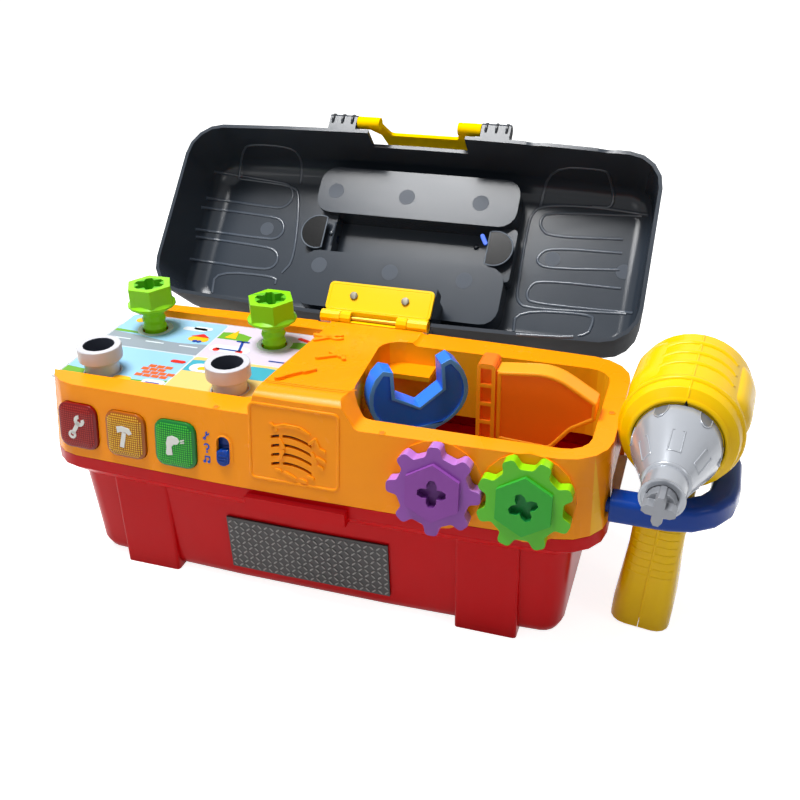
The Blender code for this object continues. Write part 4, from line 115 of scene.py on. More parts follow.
RED = plastic("red_plastic", (194, 4, 12), 0.32, specular=0.11)
RED_PAINTED_SHADE = plastic("red_painted_shade", (120, 2, 8), 0.4, specular=0.1)
ORANGE = plastic("orange_plastic", (255, 150, 6), 0.27, specular=0.16)
GREY = plastic("dark_grey_plastic", (46, 53, 62), 0.22, grain=0.05, specular=0.26)
LID_OUTSIDE = plastic("lid_outside", (26, 30, 35), 0.55, specular=0.05)
MARK_GREY = plastic("mark_grey", (66, 73, 83), 0.4)
LIP_GREY_HIGHLIGHT = plastic("lip_painted_highlight", (96, 105, 116), 0.2, specular=0.5)
RELIEF_GREY_HIGHLIGHT = plastic("relief_painted_highlight", (72, 80, 91), 0.16, specular=0.5)
YELLOW = plastic("yellow_plastic", (246, 198, 0), 0.24, specular=0.16)
LATCH_YELLOW = plastic("latch_yellow", (255, 206, 0), 0.6, specular=0)
BLUE = plastic("blue_plastic", (34, 92, 214), 0.26, specular=0.2)
# Wrench blue is the tool blue made lighter: painted light for the wrench down in the well's shade.
WRENCH_BLUE_LIT = plastic("wrench_blue_painted_light", (44, 120, 244), 0.26, specular=0.2)
RIM_BLUE_HIGHLIGHT = plastic("rim_blue_painted_highlight", (96, 170, 250), 0.24)
HOLDER_BLUE = plastic("holder_blue", (6, 58, 146), 0.2, specular=0.15)
HAMMER = plastic("hammer_plastic", (255, 118, 22), 0.3)
HAMMER_RIM_LIT = plastic("hammer_rim_painted_light", (255, 160, 28), 0.26)
PURPLE = plastic("purple_plastic", (138, 72, 158), 0.24)
PURPLE_RING = plastic("purple_ring", (140, 74, 164), 0.22, specular=0.25)
PURPLE_PAINTED_SHADE = plastic("purple_painted_shade", (110, 54, 132), 0.3)
LILAC_HIGHLIGHT = plastic("lilac_painted_highlight", (184, 122, 208), 0.2, specular=0.3)
GREEN = plastic("green_plastic", (56, 164, 54), 0.24)
GREEN_RING = plastic("green_ring", (88, 186, 34), 0.22, specular=0.25)
GREEN_PAINTED_SHADE = plastic("green_painted_shade", (26, 132, 62), 0.3)
LIME_HIGHLIGHT = plastic("lime_painted_highlight", (142, 216, 18), 0.2, specular=0.3)
SCREW = plastic("screw_plastic", (138, 212, 18), 0.26, specular=0.2)
SCREW_SOCKET_SHADE = plastic("screw_socket_painted_shade", (92, 178, 32), 0.4)
PEG = plastic("peg_plastic", (196, 196, 202), 0.26, specular=0.3)
PEG_BORE_SHADE = plastic("peg_bore_painted_shade", (70, 74, 86), 0.3)
DARK = plastic("dark_plastic", (40, 44, 50), 0.34, specular=0.3)
BLACK = plastic("black_plastic", (8, 9, 11), 0.2, specular=0.15)
SCREW_STEEL = plastic("screw_steel", (122, 118, 104), 0.5, grain=0.04, metallic=0.6, specular=0.2)
STEEL = plastic("steel", (140, 141, 143), 0.3, grain=0.04, metallic=1)
BRASS = plastic("brass", (196, 152, 52), 0.3, metallic=0.9)
SILVER = plastic("silver_paint", (170, 174, 181), 0.24, metallic=0.35, grain=0.05, specular=0.4)
BIT_SILVER = plastic("bit_silver", (138, 141, 147), 0.26, metallic=0.3, specular=0.35)
SILVER_PAINTED_SHADE = plastic("silver_painted_shade", (118, 122, 130), 0.3, metallic=0.3)
BOARD = plastic("board", (20, 90, 50), 0.5)
CELL = plastic("cell", (30, 30, 32), 0.35)
CARD = plastic("card", (204, 208, 213), 0.42)
# Spare card: whiter than the card base, painted light for the card that lies in shade.
SPARE_CARD_LIT = plastic("spare_card", (250, 251, 253), 0.42)
ORANGE_WELL_LIT = plastic("orange_well_painted_light", (255, 184, 22), 0.27, specular=0.2)
PLATE = plastic("plate", (58, 57, 57), 0.34, grain=0.08, specular=0.25)
TREAD = plastic("tread", (124, 122, 120), 0.3, metallic=0.3, specular=0.3)
WHITE = plastic("white_print", (226, 226, 220), 0.4)
PRINT_BLUE = plastic("blue_print", (18, 84, 190), 0.4)
LENS_RED = plastic("lens_red", (124, 4, 8), 0.16, coat=0.12, specular=0.2)
LENS_AMBER = plastic("lens_amber", (160, 84, 6), 0.16, coat=0.12, specular=0.2)
LENS_GREEN = plastic("lens_green", (0, 116, 44), 0.16, coat=0.12, specular=0.2)
DOT_RED = plastic("dot_red", (176, 44, 38), 0.25)
DOT_AMBER = plastic("dot_amber", (232, 186, 48), 0.25)
DOT_GREEN = plastic("dot_green", (66, 196, 56), 0.25)
EDGE_RED = plastic("edge_red", (92, 10, 12), 0.3)
EDGE_AMBER = plastic("edge_amber", (138, 70, 8), 0.3)
EDGE_GREEN = plastic("edge_green", (6, 78, 30), 0.3)
SKY, CLOUD, LILAC_PRINT, ROAD, GRASS, SAND, SEA, BRICK, SUN, NAVY, SCARLET = (
    plastic("print_" + name, colour, 0.42) for name, colour in (
        ("sky", (146, 192, 222)), ("cloud", (214, 222, 230)), ("lilac", (204, 194, 212)),
        ("road", (140, 150, 160)), ("grass", (104, 162, 46)), ("sand", (220, 192, 116)),
        ("sea", (64, 160, 180)), ("brick", (208, 96, 46)), ("sun", (248, 182, 22)),
        ("navy", (30, 66, 150)), ("scarlet", (210, 40, 32)),
    )
)

SLOT_FINISH = {
    "tub_red": RED, "tray_orange": ORANGE, "lid_grey": GREY, "bright_yellow": YELLOW, "tool_blue": BLUE,
    "hammer_orange": HAMMER, "gear_purple": PURPLE, "gear_green": GREEN, "screw_green": SCREW,
    "peg_grey": PEG, "dark_plastic": DARK, "plate_grey": PLATE, "card_print": CARD, "button_red": LENS_RED,
    "button_amber": LENS_AMBER, "button_green": LENS_GREEN, "steel": STEEL, "chuck_silver": SILVER,
    "board_green": BOARD, "cell_black": CELL,
}
NODE_FINISH = {
    "drill_holder": HOLDER_BLUE, "hinge_pin": BRASS, "latch": LATCH_YELLOW, "wrench": WRENCH_BLUE_LIT,
    "mode_slider": HOLDER_BLUE, "hinge_screw_left": SCREW_STEEL, "hinge_screw_right": SCREW_STEEL,
    "driver_bit": BIT_SILVER, "spare_card": SPARE_CARD_LIT,
}
SLOTS = {row["node"]: row["material_slot"] for row in frame["record"]["subparts"]}
BODIES = {node: body for body, nodes in frame["record"]["behaviour"]["bodies"].items() for node in nodes}
BEVELS = {
    "tub": 0.9, "tray": 1.1, "lid_shell": 0.8, "wrench": 0.9, "hammer_head": 0.7, "purple_gear": 1.1,
    "green_gear": 1.1, "screw_left": 0.5, "screw_right": 0.5, "peg_left": 0.7, "peg_right": 0.7,
    "drill_holder": 1.2, "drill_chuck": 0.7, "driver_bit": 0.8, "hinge_leaf": 0.5, "hinge_bracket": 0.5,
    "latch": 0.8, "drill_shell_left": 0.4, "drill_shell_right": 0.4, "red_button": 0.9, "amber_button": 0.9,
    "green_button": 0.9,
}


# Places on the model
def face_frame(x, height):
    """Frame on the tray's bowed, leaning front: X along, Y up the face, Z out."""
    lean, rim, bow, half = 0.0065, 0.045, 0.0045, 0.1675
    y = -0.063 + lean * height / rim - bow * (1 - (x / half) ** 2)
    yaw = math.atan(2 * bow * x / half ** 2)
    turn = Matrix.Rotation(yaw, 4, "Z") @ Matrix.Rotation(math.pi / 2 - math.atan2(lean, rim), 4, "X")
    return Matrix.Translation((x, y, SEAM + height)) @ turn


LID = Matrix.Translation((0, 0.0675, 0.1257)) @ Matrix.Rotation(math.radians(-134.2), 4, "X")
DRILL = (
    Matrix.Translation((0.199, 0, 0.1281)) @ Matrix.Rotation(math.radians(-3), 4, "Z")
    @ Matrix.Rotation(math.radians(4), 4, "Y") @ Matrix.Rotation(math.pi / 2, 4, "X")
)
CARD_TOP = 0.118
BLOCK_SLOPE = (0.1242 - 0.138) / (0.0515 + 0.05)
BLOCK_TOP = (
    Matrix.Translation((0, 0, 0.138 + 0.05 * BLOCK_SLOPE)) @ Matrix.Rotation(math.atan(BLOCK_SLOPE), 4, "X")
)
BAR_DEPTH = 0.0285
COLUMNS = (("left", -0.140), ("right", -0.055))
SCREW_Y, PEG_Y = 0.033, -0.029
EYE = Vector((0.2043, -0.488, 0.396))


# Flat outlines
def arc(centre, radius, start, end, steps=8):
    turns = (start + (end - start) * step / steps for step in range(steps + 1))
    return [(centre[0] + radius * math.cos(turn), centre[1] + radius * math.sin(turn)) for turn in turns]


def disc(centre, radius, steps=20):
    return arc(centre, radius, 0, 2 * math.pi, steps)[:-1]


def block(low_x, low_y, high_x, high_y, corner=0.0, steps=4):
    """Rectangle with round corners."""
    if not corner:
        return [(low_x, low_y), (high_x, low_y), (high_x, high_y), (low_x, high_y)]
    quarter = math.pi / 2
    centres = (
        (high_x - corner, low_y + corner, -1), (high_x - corner, high_y - corner, 0),
        (low_x + corner, high_y - corner, 1), (low_x + corner, low_y + corner, 2),
    )
    return [
        point for x, y, turn in centres
        for point in arc((x, y), corner, turn * quarter, (turn + 1) * quarter, steps)
    ]


def bar(start, end, width, steps=6):
    """Straight bar with round ends."""
    heading = math.atan2(end[1] - start[1], end[0] - start[0])
    quarter = math.pi / 2
    return (
        arc(end, width / 2, heading - quarter, heading + quarter, steps)
        + arc(start, width / 2, heading + quarter, heading + 3 * quarter, steps)
    )


def crescent(centre, outer, inner, start, end, steps=10):
    """Part of a ring."""
    return arc(centre, outer, start, end, steps) + arc(centre, inner, end, start, steps)


def rotated(outline, turn):
    cosine, sine = math.cos(turn), math.sin(turn)
    return [(cosine * a - sine * b, sine * a + cosine * b) for a, b in outline]


def eased(path, rounds=2):
    """Open path with its corners cut off step by step."""
    for _ in range(rounds):
        smoother = [path[0]]
        for here, there in zip(path, path[1:]):
            a, b = Vector(here), Vector(there)
            smoother.extend((tuple(a.lerp(b, 0.25)), tuple(a.lerp(b, 0.75))))
        smoother.append(path[-1])
        path = smoother
    return path


def filleted(corners, steps=6):
    """Closed outline of (x, y, radius) corners, each cut by an arc."""
    path = []
    for index, (x, y, radius) in enumerate(corners):
        here = Vector((x, y, 0))
        before = Vector((*corners[index - 1][:2], 0))
        after = Vector((*corners[(index + 1) % len(corners)][:2], 0))
        back, on = (before - here).normalized(), (after - here).normalized()
        half = back.angle(on) / 2
        if not radius:
            path.append((x, y))
            continue
        centre = here + (back + on).normalized() * radius / math.sin(half)
        start = here + back * radius / math.tan(half) - centre
        end = here + on * radius / math.tan(half) - centre
        path.extend(tuple((centre + start.slerp(end, step / steps) * radius).xy) for step in range(steps + 1))
    return path


def inset(path, depth):
    """Closed outline moved inward; the points run counterclockwise."""
    moved = []
    for index, (x, y) in enumerate(path):
        before, after = Vector(path[index - 1]), Vector(path[(index + 1) % len(path)])
        along = (after - before).normalized()
        moved.append((x - along.y * depth, y + along.x * depth))
    return moved


# Surfaces to lay details on
def skin_tree(*nodes):
    """Search tree of the nodes' faces."""
    work = bmesh.new()
    for node in nodes:
        work.from_mesh(frame["nodes"][node].data)
    tree = BVHTree.FromBMesh(work)
    work.free()
    return tree


def skin_at(tree, place, start, heading, lift=0.0):
    """Point where a line in a frame meets a skin, lifted back towards the start, and the way back."""
    way = (place.to_3x3() @ Vector(heading)).normalized()
    hit = tree.ray_cast(place @ Vector(start), way)[0]
    return (hit - way * lift, -way) if hit else (None, None)


def skin_round(tree, place, turn, height, lift=0.0):
    """The same from a point out at an angle about Z towards the axis."""
    out = Vector((math.cos(turn), math.sin(turn), 0))
    return skin_at(tree, place, out * RAY_START + Vector((0, 0, height)), -out, lift)


def add_grid(work, rows):
    """Faces between rows of points."""
    made = [[work.verts.new(point) for point in row] for row in rows]
    for here, there in zip(made, made[1:]):
        for index in range(len(here) - 1):
            work.faces.new((here[index], here[index + 1], there[index + 1], there[index]))


# Solid pieces
def add_slab(work, outline, low, high, place=Matrix()):
    """A flat outline between two heights."""
    foot = [work.verts.new(place @ Vector((x, y, low))) for x, y in outline]
    top = [work.verts.new(place @ Vector((x, y, high))) for x, y in outline]
    work.faces.new(top)
    work.faces.new(reversed(foot))
    for index in range(len(outline)):
        after = (index + 1) % len(outline)
        work.faces.new((foot[index], foot[after], top[after], top[index]))


def add_rope(work, path, ups, radius, closed=False, sides=8, flat=1.0):
    """A bead along points, each with its own up direction."""
    rings = []
    count = len(path)
    for index, (point, up) in enumerate(zip(path, ups)):
        before = path[index - 1] if index or closed else point
        after = path[(index + 1) % count] if index < count - 1 or closed else point
        along = (after - before).normalized()
        side = along.cross(up).normalized()
        rise = side.cross(along).normalized()
        turns = (2 * math.pi * step / sides for step in range(sides))
        rings.append([
            work.verts.new(point + side * radius * math.cos(turn) + rise * radius * flat * math.sin(turn))
            for turn in turns
        ])
    spans = count if closed else count - 1
    for index in range(spans):
        here, there = rings[index], rings[(index + 1) % count]
        for step in range(sides):
            after = (step + 1) % sides
            work.faces.new((here[step], here[after], there[after], there[step]))
    if not closed:
        work.faces.new(reversed(rings[0]))
        work.faces.new(rings[-1])


def add_runs(work, pairs, gap, radius, flat):
    """Beads along (point, up) pairs, with a new one after each gap in the skin."""
    runs = [[]]
    for point, up in pairs:
        if runs[-1] and (point - runs[-1][-1][0]).length > gap:
            runs.append([])
        runs[-1].append((point, up))
    for run in runs:
        if len(run) > 2:
            add_rope(work, [point for point, _ in run], [up for _, up in run], radius, flat=flat)


def add_bead(work, outline, height, radius, place=Matrix(), closed=True, flat=1.0, sides=8):
    """A bead along a flat outline."""
    up = (place.to_3x3() @ Vector((0, 0, 1))).normalized()
    path = [place @ Vector((x, y, height)) for x, y in outline]
    add_rope(work, path, [up] * len(path), radius, closed, sides, flat)


def add_turned(work, profile, place, steps):
    """A profile of (radius, height) turned about Z."""
    rings = []
    for step in range(steps):
        turn = 2 * math.pi * step / steps
        rings.append([
            work.verts.new(place @ Vector((r * math.cos(turn), r * math.sin(turn), z))) for r, z in profile
        ])
    for step in range(steps):
        here, there = rings[step], rings[(step + 1) % steps]
        for index in range(len(profile) - 1):
            work.faces.new((here[index], there[index], there[index + 1], here[index + 1]))
    bmesh.ops.remove_doubles(work, verts=work.verts, dist=WELD)


def add_sheet(work, outline, holes, height, place=Matrix()):
    """A thin printed area with holes left open."""
    loops = [[Vector((x, y, 0)) for x, y in loop] for loop in (outline, *holes)]
    points = [point for loop in loops for point in loop]
    verts = [work.verts.new(place @ Vector((point.x, point.y, height))) for point in points]
    for corners in tessellate_polygon(loops):
        work.faces.new([verts[index] for index in corners])


def make(name, work, finish, node, bevel=0.0, angle=SHARP_ANGLE, slot=None):
    """Ends a mesh as a piece that rides on a node's body; the slot argument is not used."""
    body, slot = BODIES[node], slot or SLOTS[node]
    bmesh.ops.recalc_face_normals(work, faces=work.faces)
    mesh = bpy.data.meshes.new(name)
    work.to_mesh(mesh)
    work.free()
    mesh.materials.append(finish)
    mesh.shade_smooth()
    mesh.set_sharp_from_angle(angle=angle)
    item = bpy.data.objects.new(name, mesh)
    bpy.context.scene.collection.objects.link(item)
    if bevel:
        round_edges(item, bevel)
    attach(item, body)


def round_edges(item, width):
    edge = item.modifiers.new("rounded_edges", "BEVEL")
    edge.limit_method = "ANGLE"
    edge.angle_limit = BEVEL_ANGLE
    edge.width = width
    edge.segments = BEVEL_SEGMENTS
    edge.harden_normals = True


def dress(node):
    """A finished copy of a node: flat faces merged, edges rounded, and smooth where the form is."""
    mesh = frame["nodes"][node].data.copy()
    work = bmesh.new()
    work.from_mesh(mesh)
    bmesh.ops.remove_doubles(work, verts=work.verts, dist=WELD)
    bmesh.ops.dissolve_limit(work, angle_limit=FLAT_ANGLE, verts=work.verts, edges=work.edges)
    bmesh.ops.triangulate(work, faces=work.faces)
    work.to_mesh(mesh)
    work.free()
    mesh.materials.clear()
    mesh.materials.append(NODE_FINISH.get(node) or SLOT_FINISH[SLOTS[node]])
    mesh.shade_smooth()
    mesh.set_sharp_from_angle(angle=SHARP_ANGLE)
    item = bpy.data.objects.new(node + "_finish", mesh)
    bpy.context.scene.collection.objects.link(item)
    if node in BEVELS:
        round_edges(item, BEVELS[node] * MM)
    even = item.modifiers.new("even_shading", "WEIGHTED_NORMAL")
    even.keep_sharp = True
    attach(item, BODIES[node])
    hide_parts(node)
    return item


def paint_faces(item, finish, chosen):
    """Gives a second finish to the faces that the test picks."""
    mesh = item.data
    mesh.materials.append(finish)
    index = len(mesh.materials) - 1
    for face in mesh.polygons:
        if chosen(face.center, face.normal):
            face.material_index = index


FINISHED = {node: dress(node) for node in frame["nodes"]}


# Colour changes on the tools, gears and screws, most of them painted light and painted shade
def outer_faces(place, half):
    """Test for flat faces that lie at the two sides of a slab."""
    back = place.inverted()
    turn = back.to_3x3()

    def chosen(centre, normal):
        return abs((turn @ normal).y) > 0.97 and abs(abs((back @ centre).y) - half) < 0.2 * MM
    return chosen


def ledge_top(centre, normal):
    """Top of the low step over the label, painted a darker red as shade."""
    return normal.z > 0.5 and centre.y < -0.045 and 0.045 < centre.z < 0.076 and abs(centre.x) < 0.09


def well_wall(centre, normal):
    """Walls round the tool well, painted a lighter orange as the light inside the well."""
    inside = 0.02 < centre.x < 0.162 and abs(centre.y) < 0.054 and 0.082 < centre.z < 0.121
    return inside and abs(normal.z) < 0.6


# The ledge top gets a darker red: painted shade.
paint_faces(FINISHED["tub"], RED_PAINTED_SHADE, ledge_top)
# The well walls get a lighter, yellower orange: painted light inside the well.
paint_faces(FINISHED["tray"], ORANGE_WELL_LIT, well_wall)
wrench_place = (
    Matrix.Translation((0.0514, -0.0071, 0.1206)) @ Matrix.Rotation(math.radians(33), 4, "Z")
    @ Matrix.Rotation(math.radians(-3), 4, "Y")
)
# The wrench's flat rim faces get a lighter blue: a painted highlight.
paint_faces(FINISHED["wrench"], RIM_BLUE_HIGHLIGHT, outer_faces(wrench_place, 0.006))
for side, label, highlight_finish, ring, shade_finish in (
    (-1, "purple", LILAC_HIGHLIGHT, PURPLE_RING, PURPLE_PAINTED_SHADE), (1, "green", LIME_HIGHLIGHT, GREEN_RING, GREEN_PAINTED_SHADE),
):
    place = (face_frame(0.1038, 0.0212) @ Matrix.Translation((side * 0.0238, 0, 0))).inverted()
    turn = place.to_3x3()
    faces = FINISHED[label + "_gear"].data.polygons
    hub_top = max((place @ face.center).z for face in faces if (turn @ face.normal).z > 0.9)

    def tooth_face(centre, normal, place=place, turn=turn, hub_top=hub_top):
        return (turn @ normal).z > 0.7 and 0.001 < hub_top - (place @ centre).z < 0.004

    def tooth_edge(centre, normal, place=place, turn=turn):
        near = place @ centre
        return near.xy.length > 0.0165 and abs((turn @ normal).z) < 0.7 and near.z > 0.001

    def in_cross(centre, normal, place=place, turn=turn):
        near = place @ centre
        if near.xy.length > 0.0118 or near.z < 0.002:
            return False
        return near.z < 0.0078 or abs((turn @ normal).z) < 0.5
    paint_faces(FINISHED[label + "_gear"], ring, tooth_face)
    # Tooth side faces get a lighter tint: painted highlight on the gear edges.
    paint_faces(FINISHED[label + "_gear"], highlight_finish, tooth_edge)
    # The cross recess in the hub is painted darker: painted shade.
    paint_faces(FINISHED[label + "_gear"], shade_finish, in_cross)
for label, x in COLUMNS:
    axis = Vector((x, SCREW_Y, 0))

    def in_socket(centre, normal, axis=axis):
        return (centre - axis).xy.length < 0.0101 and centre.z > 0.138
    # The socket gets a darker green: painted shade in the recess.
    paint_faces(FINISHED["screw_" + label], SCREW_SOCKET_SHADE, in_socket)
    axis = Vector((x, PEG_Y, 0))

    def in_bore(centre, normal, axis=axis):
        return (centre - axis).xy.length < 0.0094 and centre.z > 0.119
    # The bore gets a dark grey: painted shade inside the hole.
    paint_faces(FINISHED["peg_" + label], PEG_BORE_SHADE, in_bore)

# Hammer: painted light on the edge all round the head and on the frame round the pockets, and a rolled rim on
# both faces in the same lighter colour
hammer_place = Matrix.Translation((0.0935, -0.008, SEAM))
HEAD = inset(filleted((
    (6.2, 24, 1.5), (36.5, 22.2, 6), (47.5, 36.5, 12), (59.8, 44.5, 1), (59.8, 54.5, 1.5), (36, 69, 30),
    (6.2, 66, 1.5),
)), 0.9)


def head_edge(centre, normal):
    near = hammer_place.inverted() @ centre
    return near.x > 0.0056 and abs(normal.y) < 0.6


def strip_frame(centre, normal):
    near = hammer_place.inverted() @ centre
    return near.x < 0.0056 and (abs(abs(near.y) - 0.007) < 0.0002 or abs(normal.x) > 0.9 and near.x < -0.005)


# Edge faces and pocket frame get a lighter orange: painted light where the head's edges catch the lamp.
paint_faces(FINISHED["hammer_head"], HAMMER_RIM_LIT, head_edge)
paint_faces(FINISHED["hammer_head"], HAMMER_RIM_LIT, strip_frame)
place = hammer_place @ Matrix.Rotation(math.pi / 2, 4, "X")
for side, label in ((-1, "front"), (1, "back")):
    work = bmesh.new()
    add_bead(work, [(x * MM, z * MM) for x, z in HEAD], -side * 0.00575, 0.0012, place, flat=0.6, sides=12)
    make("hammer_rim_painted_light_" + label, work, HAMMER_RIM_LIT, "hammer_head", angle=SMOOTH_ANGLE)


# Front: lens buttons with a grid of dots and a plain picture each
def lens_height(x, y):
    """Height of the button's crown over a point of it."""
    edge = min(0.013 - abs(x), 0.014 - abs(y))
    return 0.0016 + 0.0014 * max(0.0, min(1.0, edge / 0.0045))


def inside_round(x, y, half_x, half_y, corner):
    over_x, over_y = abs(x) - half_x + corner, abs(y) - half_y + corner
    if over_x > 0 and over_y > 0:
        return math.hypot(over_x, over_y) < corner
    return abs(x) < half_x and abs(y) < half_y


WRENCH_MARK = (
    bar((-2.2, -3.6), (1.4, 2.4), 2.3),
    crescent((-2.9, -4.8), 2.5, 1.1, 0, 2 * math.pi - 0.001, 16),
    crescent((2.3, 4.0), 3.4, 1.3, math.radians(95), math.radians(385)),
)
HAMMER_MARK = (
    [(-2.9, -6.6), (-0.3, -6.9), (1.6, 1.8), (-0.9, 2.4)],
    [(-4.0, 1.6), (-4.4, 5.2), (-1.0, 5.8), (3.6, 5.0), (5.2, 2.2), (3.4, 1.2), (1.4, 2.4), (-1.6, 2.4)],
)
DRILL_MARK = (
    [(-4.4, 1.0), (-3.4, 4.6), (-0.6, 5.6), (2.6, 4.8), (3.8, 3.0), (2.4, 1.0), (0.0, 0.6), (-1.2, -1.0),
     (-0.8, -5.6), (-3.8, -6.2), (-4.8, -5.4), (-4.2, -1.4)],
    bar((4.6, 3.4), (6.4, 4.0), 0.7), bar((4.6, 2.2), (6.4, 2.6), 0.7),
)
BUTTONS = (
    ("red", DOT_RED, EDGE_RED, WRENCH_MARK), ("amber", DOT_AMBER, EDGE_AMBER, HAMMER_MARK),
    ("green", DOT_GREEN, EDGE_GREEN, DRILL_MARK),
)
DOT_PITCH, DOT_RADIUS = 0.00135, 0.0005
MARK_SCALE = 1.05
for index, (label, dots, edge, mark) in enumerate(BUTTONS):
    node = label + "_button"
    place = face_frame(-0.1389 + 0.0326 * index, 0.0202)
    work = bmesh.new()
    for row in range(-10, 11):
        for column in range(-9, 10):
            x, y = column * DOT_PITCH, row * DOT_PITCH
            if inside_round(x, y, 0.0117, 0.0127, 0.0055):
                height = lens_height(x, y)
                add_slab(work, disc((x, y), DOT_RADIUS, 6), height - 0.0001, height + 0.00018, place)
    make(node + "_dots", work, dots, node)
    work = bmesh.new()
    add_bead(work, block(-0.0124, -0.0134, 0.0124, 0.0134, 0.006, 6), 0.0013, 0.00045, place)
    make(node + "_edge", work, edge, node)
    work = bmesh.new()
    for outline in mark:
        flat = [(x * MM * MARK_SCALE, y * MM * MARK_SCALE) for x, y in outline]
        add_slab(work, flat, 0.0026, 0.00345, place)
    make(node + "_mark", work, WHITE, node)

# Slider: rim with round ends, a ridged knob cap, the plate behind it and three printed signs
SLIDER_X, SLIDER_HEIGHT = -0.0438, 0.021
SLIDER_ENDS = ((0, -0.0043), (0, 0.0043))
place = face_frame(SLIDER_X, SLIDER_HEIGHT)
work = bmesh.new()
oval = bar(*SLIDER_ENDS, 0.0084, 10)
wide = bar(*SLIDER_ENDS, 0.0120, 10)
add_sheet(work, wide, (oval,), 0.0003, place)
add_bead(work, bar(*SLIDER_ENDS, 0.0088, 10), 0.0002, 0.00045, place)
make("slider_rim", work, ORANGE, "tray")
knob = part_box("mode_slider")
middle = (Vector(knob[0]) + Vector(knob[1])) / 2
place = face_frame(SLIDER_X, middle.z - SEAM)
work = bmesh.new()
add_slab(work, bar((0, -0.0008), (0, 0.0008), 0.0074, 10), 0.0, 0.0016, place)
for step in (-1, 0, 1):
    add_slab(work, bar((-0.0022, step * 0.0018), (0.0022, step * 0.0018), 0.0007, 4), 0.0014, 0.0021, place)
make("slider_cap", work, HOLDER_BLUE, "mode_slider", 0.0003)
work = bmesh.new()
add_slab(work, bar(*SLIDER_ENDS, 0.0080, 10), -0.0037, -0.0030, face_frame(SLIDER_X, SLIDER_HEIGHT))
make("slider_plate", work, HOLDER_BLUE, "mode_slider")
SIGN_X, SIGN_SCALE, INK = -0.0543, 0.36, (0.0001, 0.0003)
work = bmesh.new()
place = face_frame(SIGN_X, 0.0283)
for outline in WRENCH_MARK:
    add_slab(work, [(x * MM * SIGN_SCALE, y * MM * SIGN_SCALE) for x, y in outline], *INK, place)
place = face_frame(SIGN_X, 0.0212)
add_slab(work, crescent((0, 0.0006), 0.0019, 0.0011, math.radians(160), math.radians(-60)), *INK, place)
add_slab(work, bar((0.0002, -0.0009), (0.0002, -0.0014), 0.0009), *INK, place)
add_slab(work, disc((0.0002, -0.0028), 0.0006, 10), *INK, place)
place = face_frame(SIGN_X, 0.0140)
for x in (-0.0012, 0.0014):
    add_slab(work, disc((x - 0.0003, -0.0014), 0.0009, 12), *INK, place)
    add_slab(work, block(x, -0.0014, x + 0.0006, 0.0019), *INK, place)
add_slab(work, block(-0.0012, 0.0012, 0.0020, 0.0021), *INK, place)
make("slider_signs", work, PRINT_BLUE, "tray")

# Speaker panel: thin raised frame and short marks round the slots
place = face_frame(-0.0010, 0.0262)
work = bmesh.new()
add_bead(work, block(-0.0262, -0.0182, 0.0258, 0.0262, 0.003, 5), -0.0001, 0.0010, place, flat=0.55, sides=12)
make("speaker_frame", work, ORANGE, "tray", angle=SMOOTH_ANGLE)
place = face_frame(-0.0016, 0.0275)
work = bmesh.new()
RAISED = (
    ((-11, 12.5), (-5, 14.6)), ((-5, 14.6), (4, 14.2)), ((4, 14.2), (9.5, 11.5)),
    ((-9.4, 11.4), (-12.5, 14.2)), ((13.2, 9), (15.2, 5)), ((15.8, 3.6), (18.4, 2.6)),
    ((14.6, -1.6), (18.6, -3.2)), ((15.2, -6.4), (17.4, -7.6)), ((-9.5, -12.6), (-7.5, -13)),
    ((-4.5, -13.6), (1.2, -16)), ((4.8, -16.2), (7.6, -17)), ((9.4, -13.6), (11.8, -14.4)),
    ((-7.4, 5.6), (-5.2, 1.6)), ((-5.6, -0.6), (-7.6, -5.4)), ((11.6, 0.6), (13.6, -3.6)),
    ((10.2, 6.4), (12.6, 8.4)),
)
for start, end in RAISED:
    a, b = (start[0] * MM, start[1] * MM), (end[0] * MM, end[1] * MM)
    add_slab(work, bar(a, b, 0.0021, 5), -0.0002, 0.0008, place)
make("speaker_marks", work, ORANGE, "tray", 0.0005)

# Small round dimples on the rim, each a darker spot as painted shade in the dimple, with a fine lip
work = bmesh.new()
dimple_shade = bmesh.new()
for x, y, z in ((-0.0485, -0.0584, 0.1231), (0.0487, -0.0589, 0.1231), (0.1609, -0.0041, 0.1231)):
    place = Matrix.Translation((x, y, z))
    add_bead(work, disc((0, 0), 0.0017, 16), 0, 0.0003, place)
    add_slab(dimple_shade, disc((0, 0), 0.0016, 16), -0.0004, 0.0001, place)
make("rim_dimple_lips", work, ORANGE, "tray")
# The darker orange discs are painted shade inside the dimples.
make("rim_dimple_painted_shade", dimple_shade, HAMMER, "tray")

# Block top: three raised tool pictures of plain shapes
work = bmesh.new()
lift = 0.0011
place = BLOCK_TOP @ Matrix.Translation((-0.0185, 0.0345, 0)) @ Matrix.Rotation(math.radians(20), 4, "Z")
for outline in (
    bar((-0.0078, -0.0048), (0.0012, 0.0004), 0.0034), bar((-0.0078, 0.0052), (0.0012, -0.0002), 0.0034),
    crescent((0.0058, 0.0004), 0.0050, 0.0018, math.radians(35), math.radians(325)),
):
    add_slab(work, outline, -lift, lift, place)
place = BLOCK_TOP @ Matrix.Translation((-0.0045, 0.0035, 0)) @ Matrix.Rotation(math.radians(-35), 4, "Z")
for outline in (
    bar((-0.0014, -0.0082), (0.0012, 0.0030), 0.0032), block(-0.0072, 0.0024, 0.0060, 0.0072, 0.0018),
    bar((0.0056, 0.0048), (0.0094, 0.0028), 0.0026),
):
    add_slab(work, outline, -lift, lift, place)
place = BLOCK_TOP @ Matrix.Translation((-0.0110, -0.0300, 0)) @ Matrix.Rotation(math.radians(58), 4, "Z")
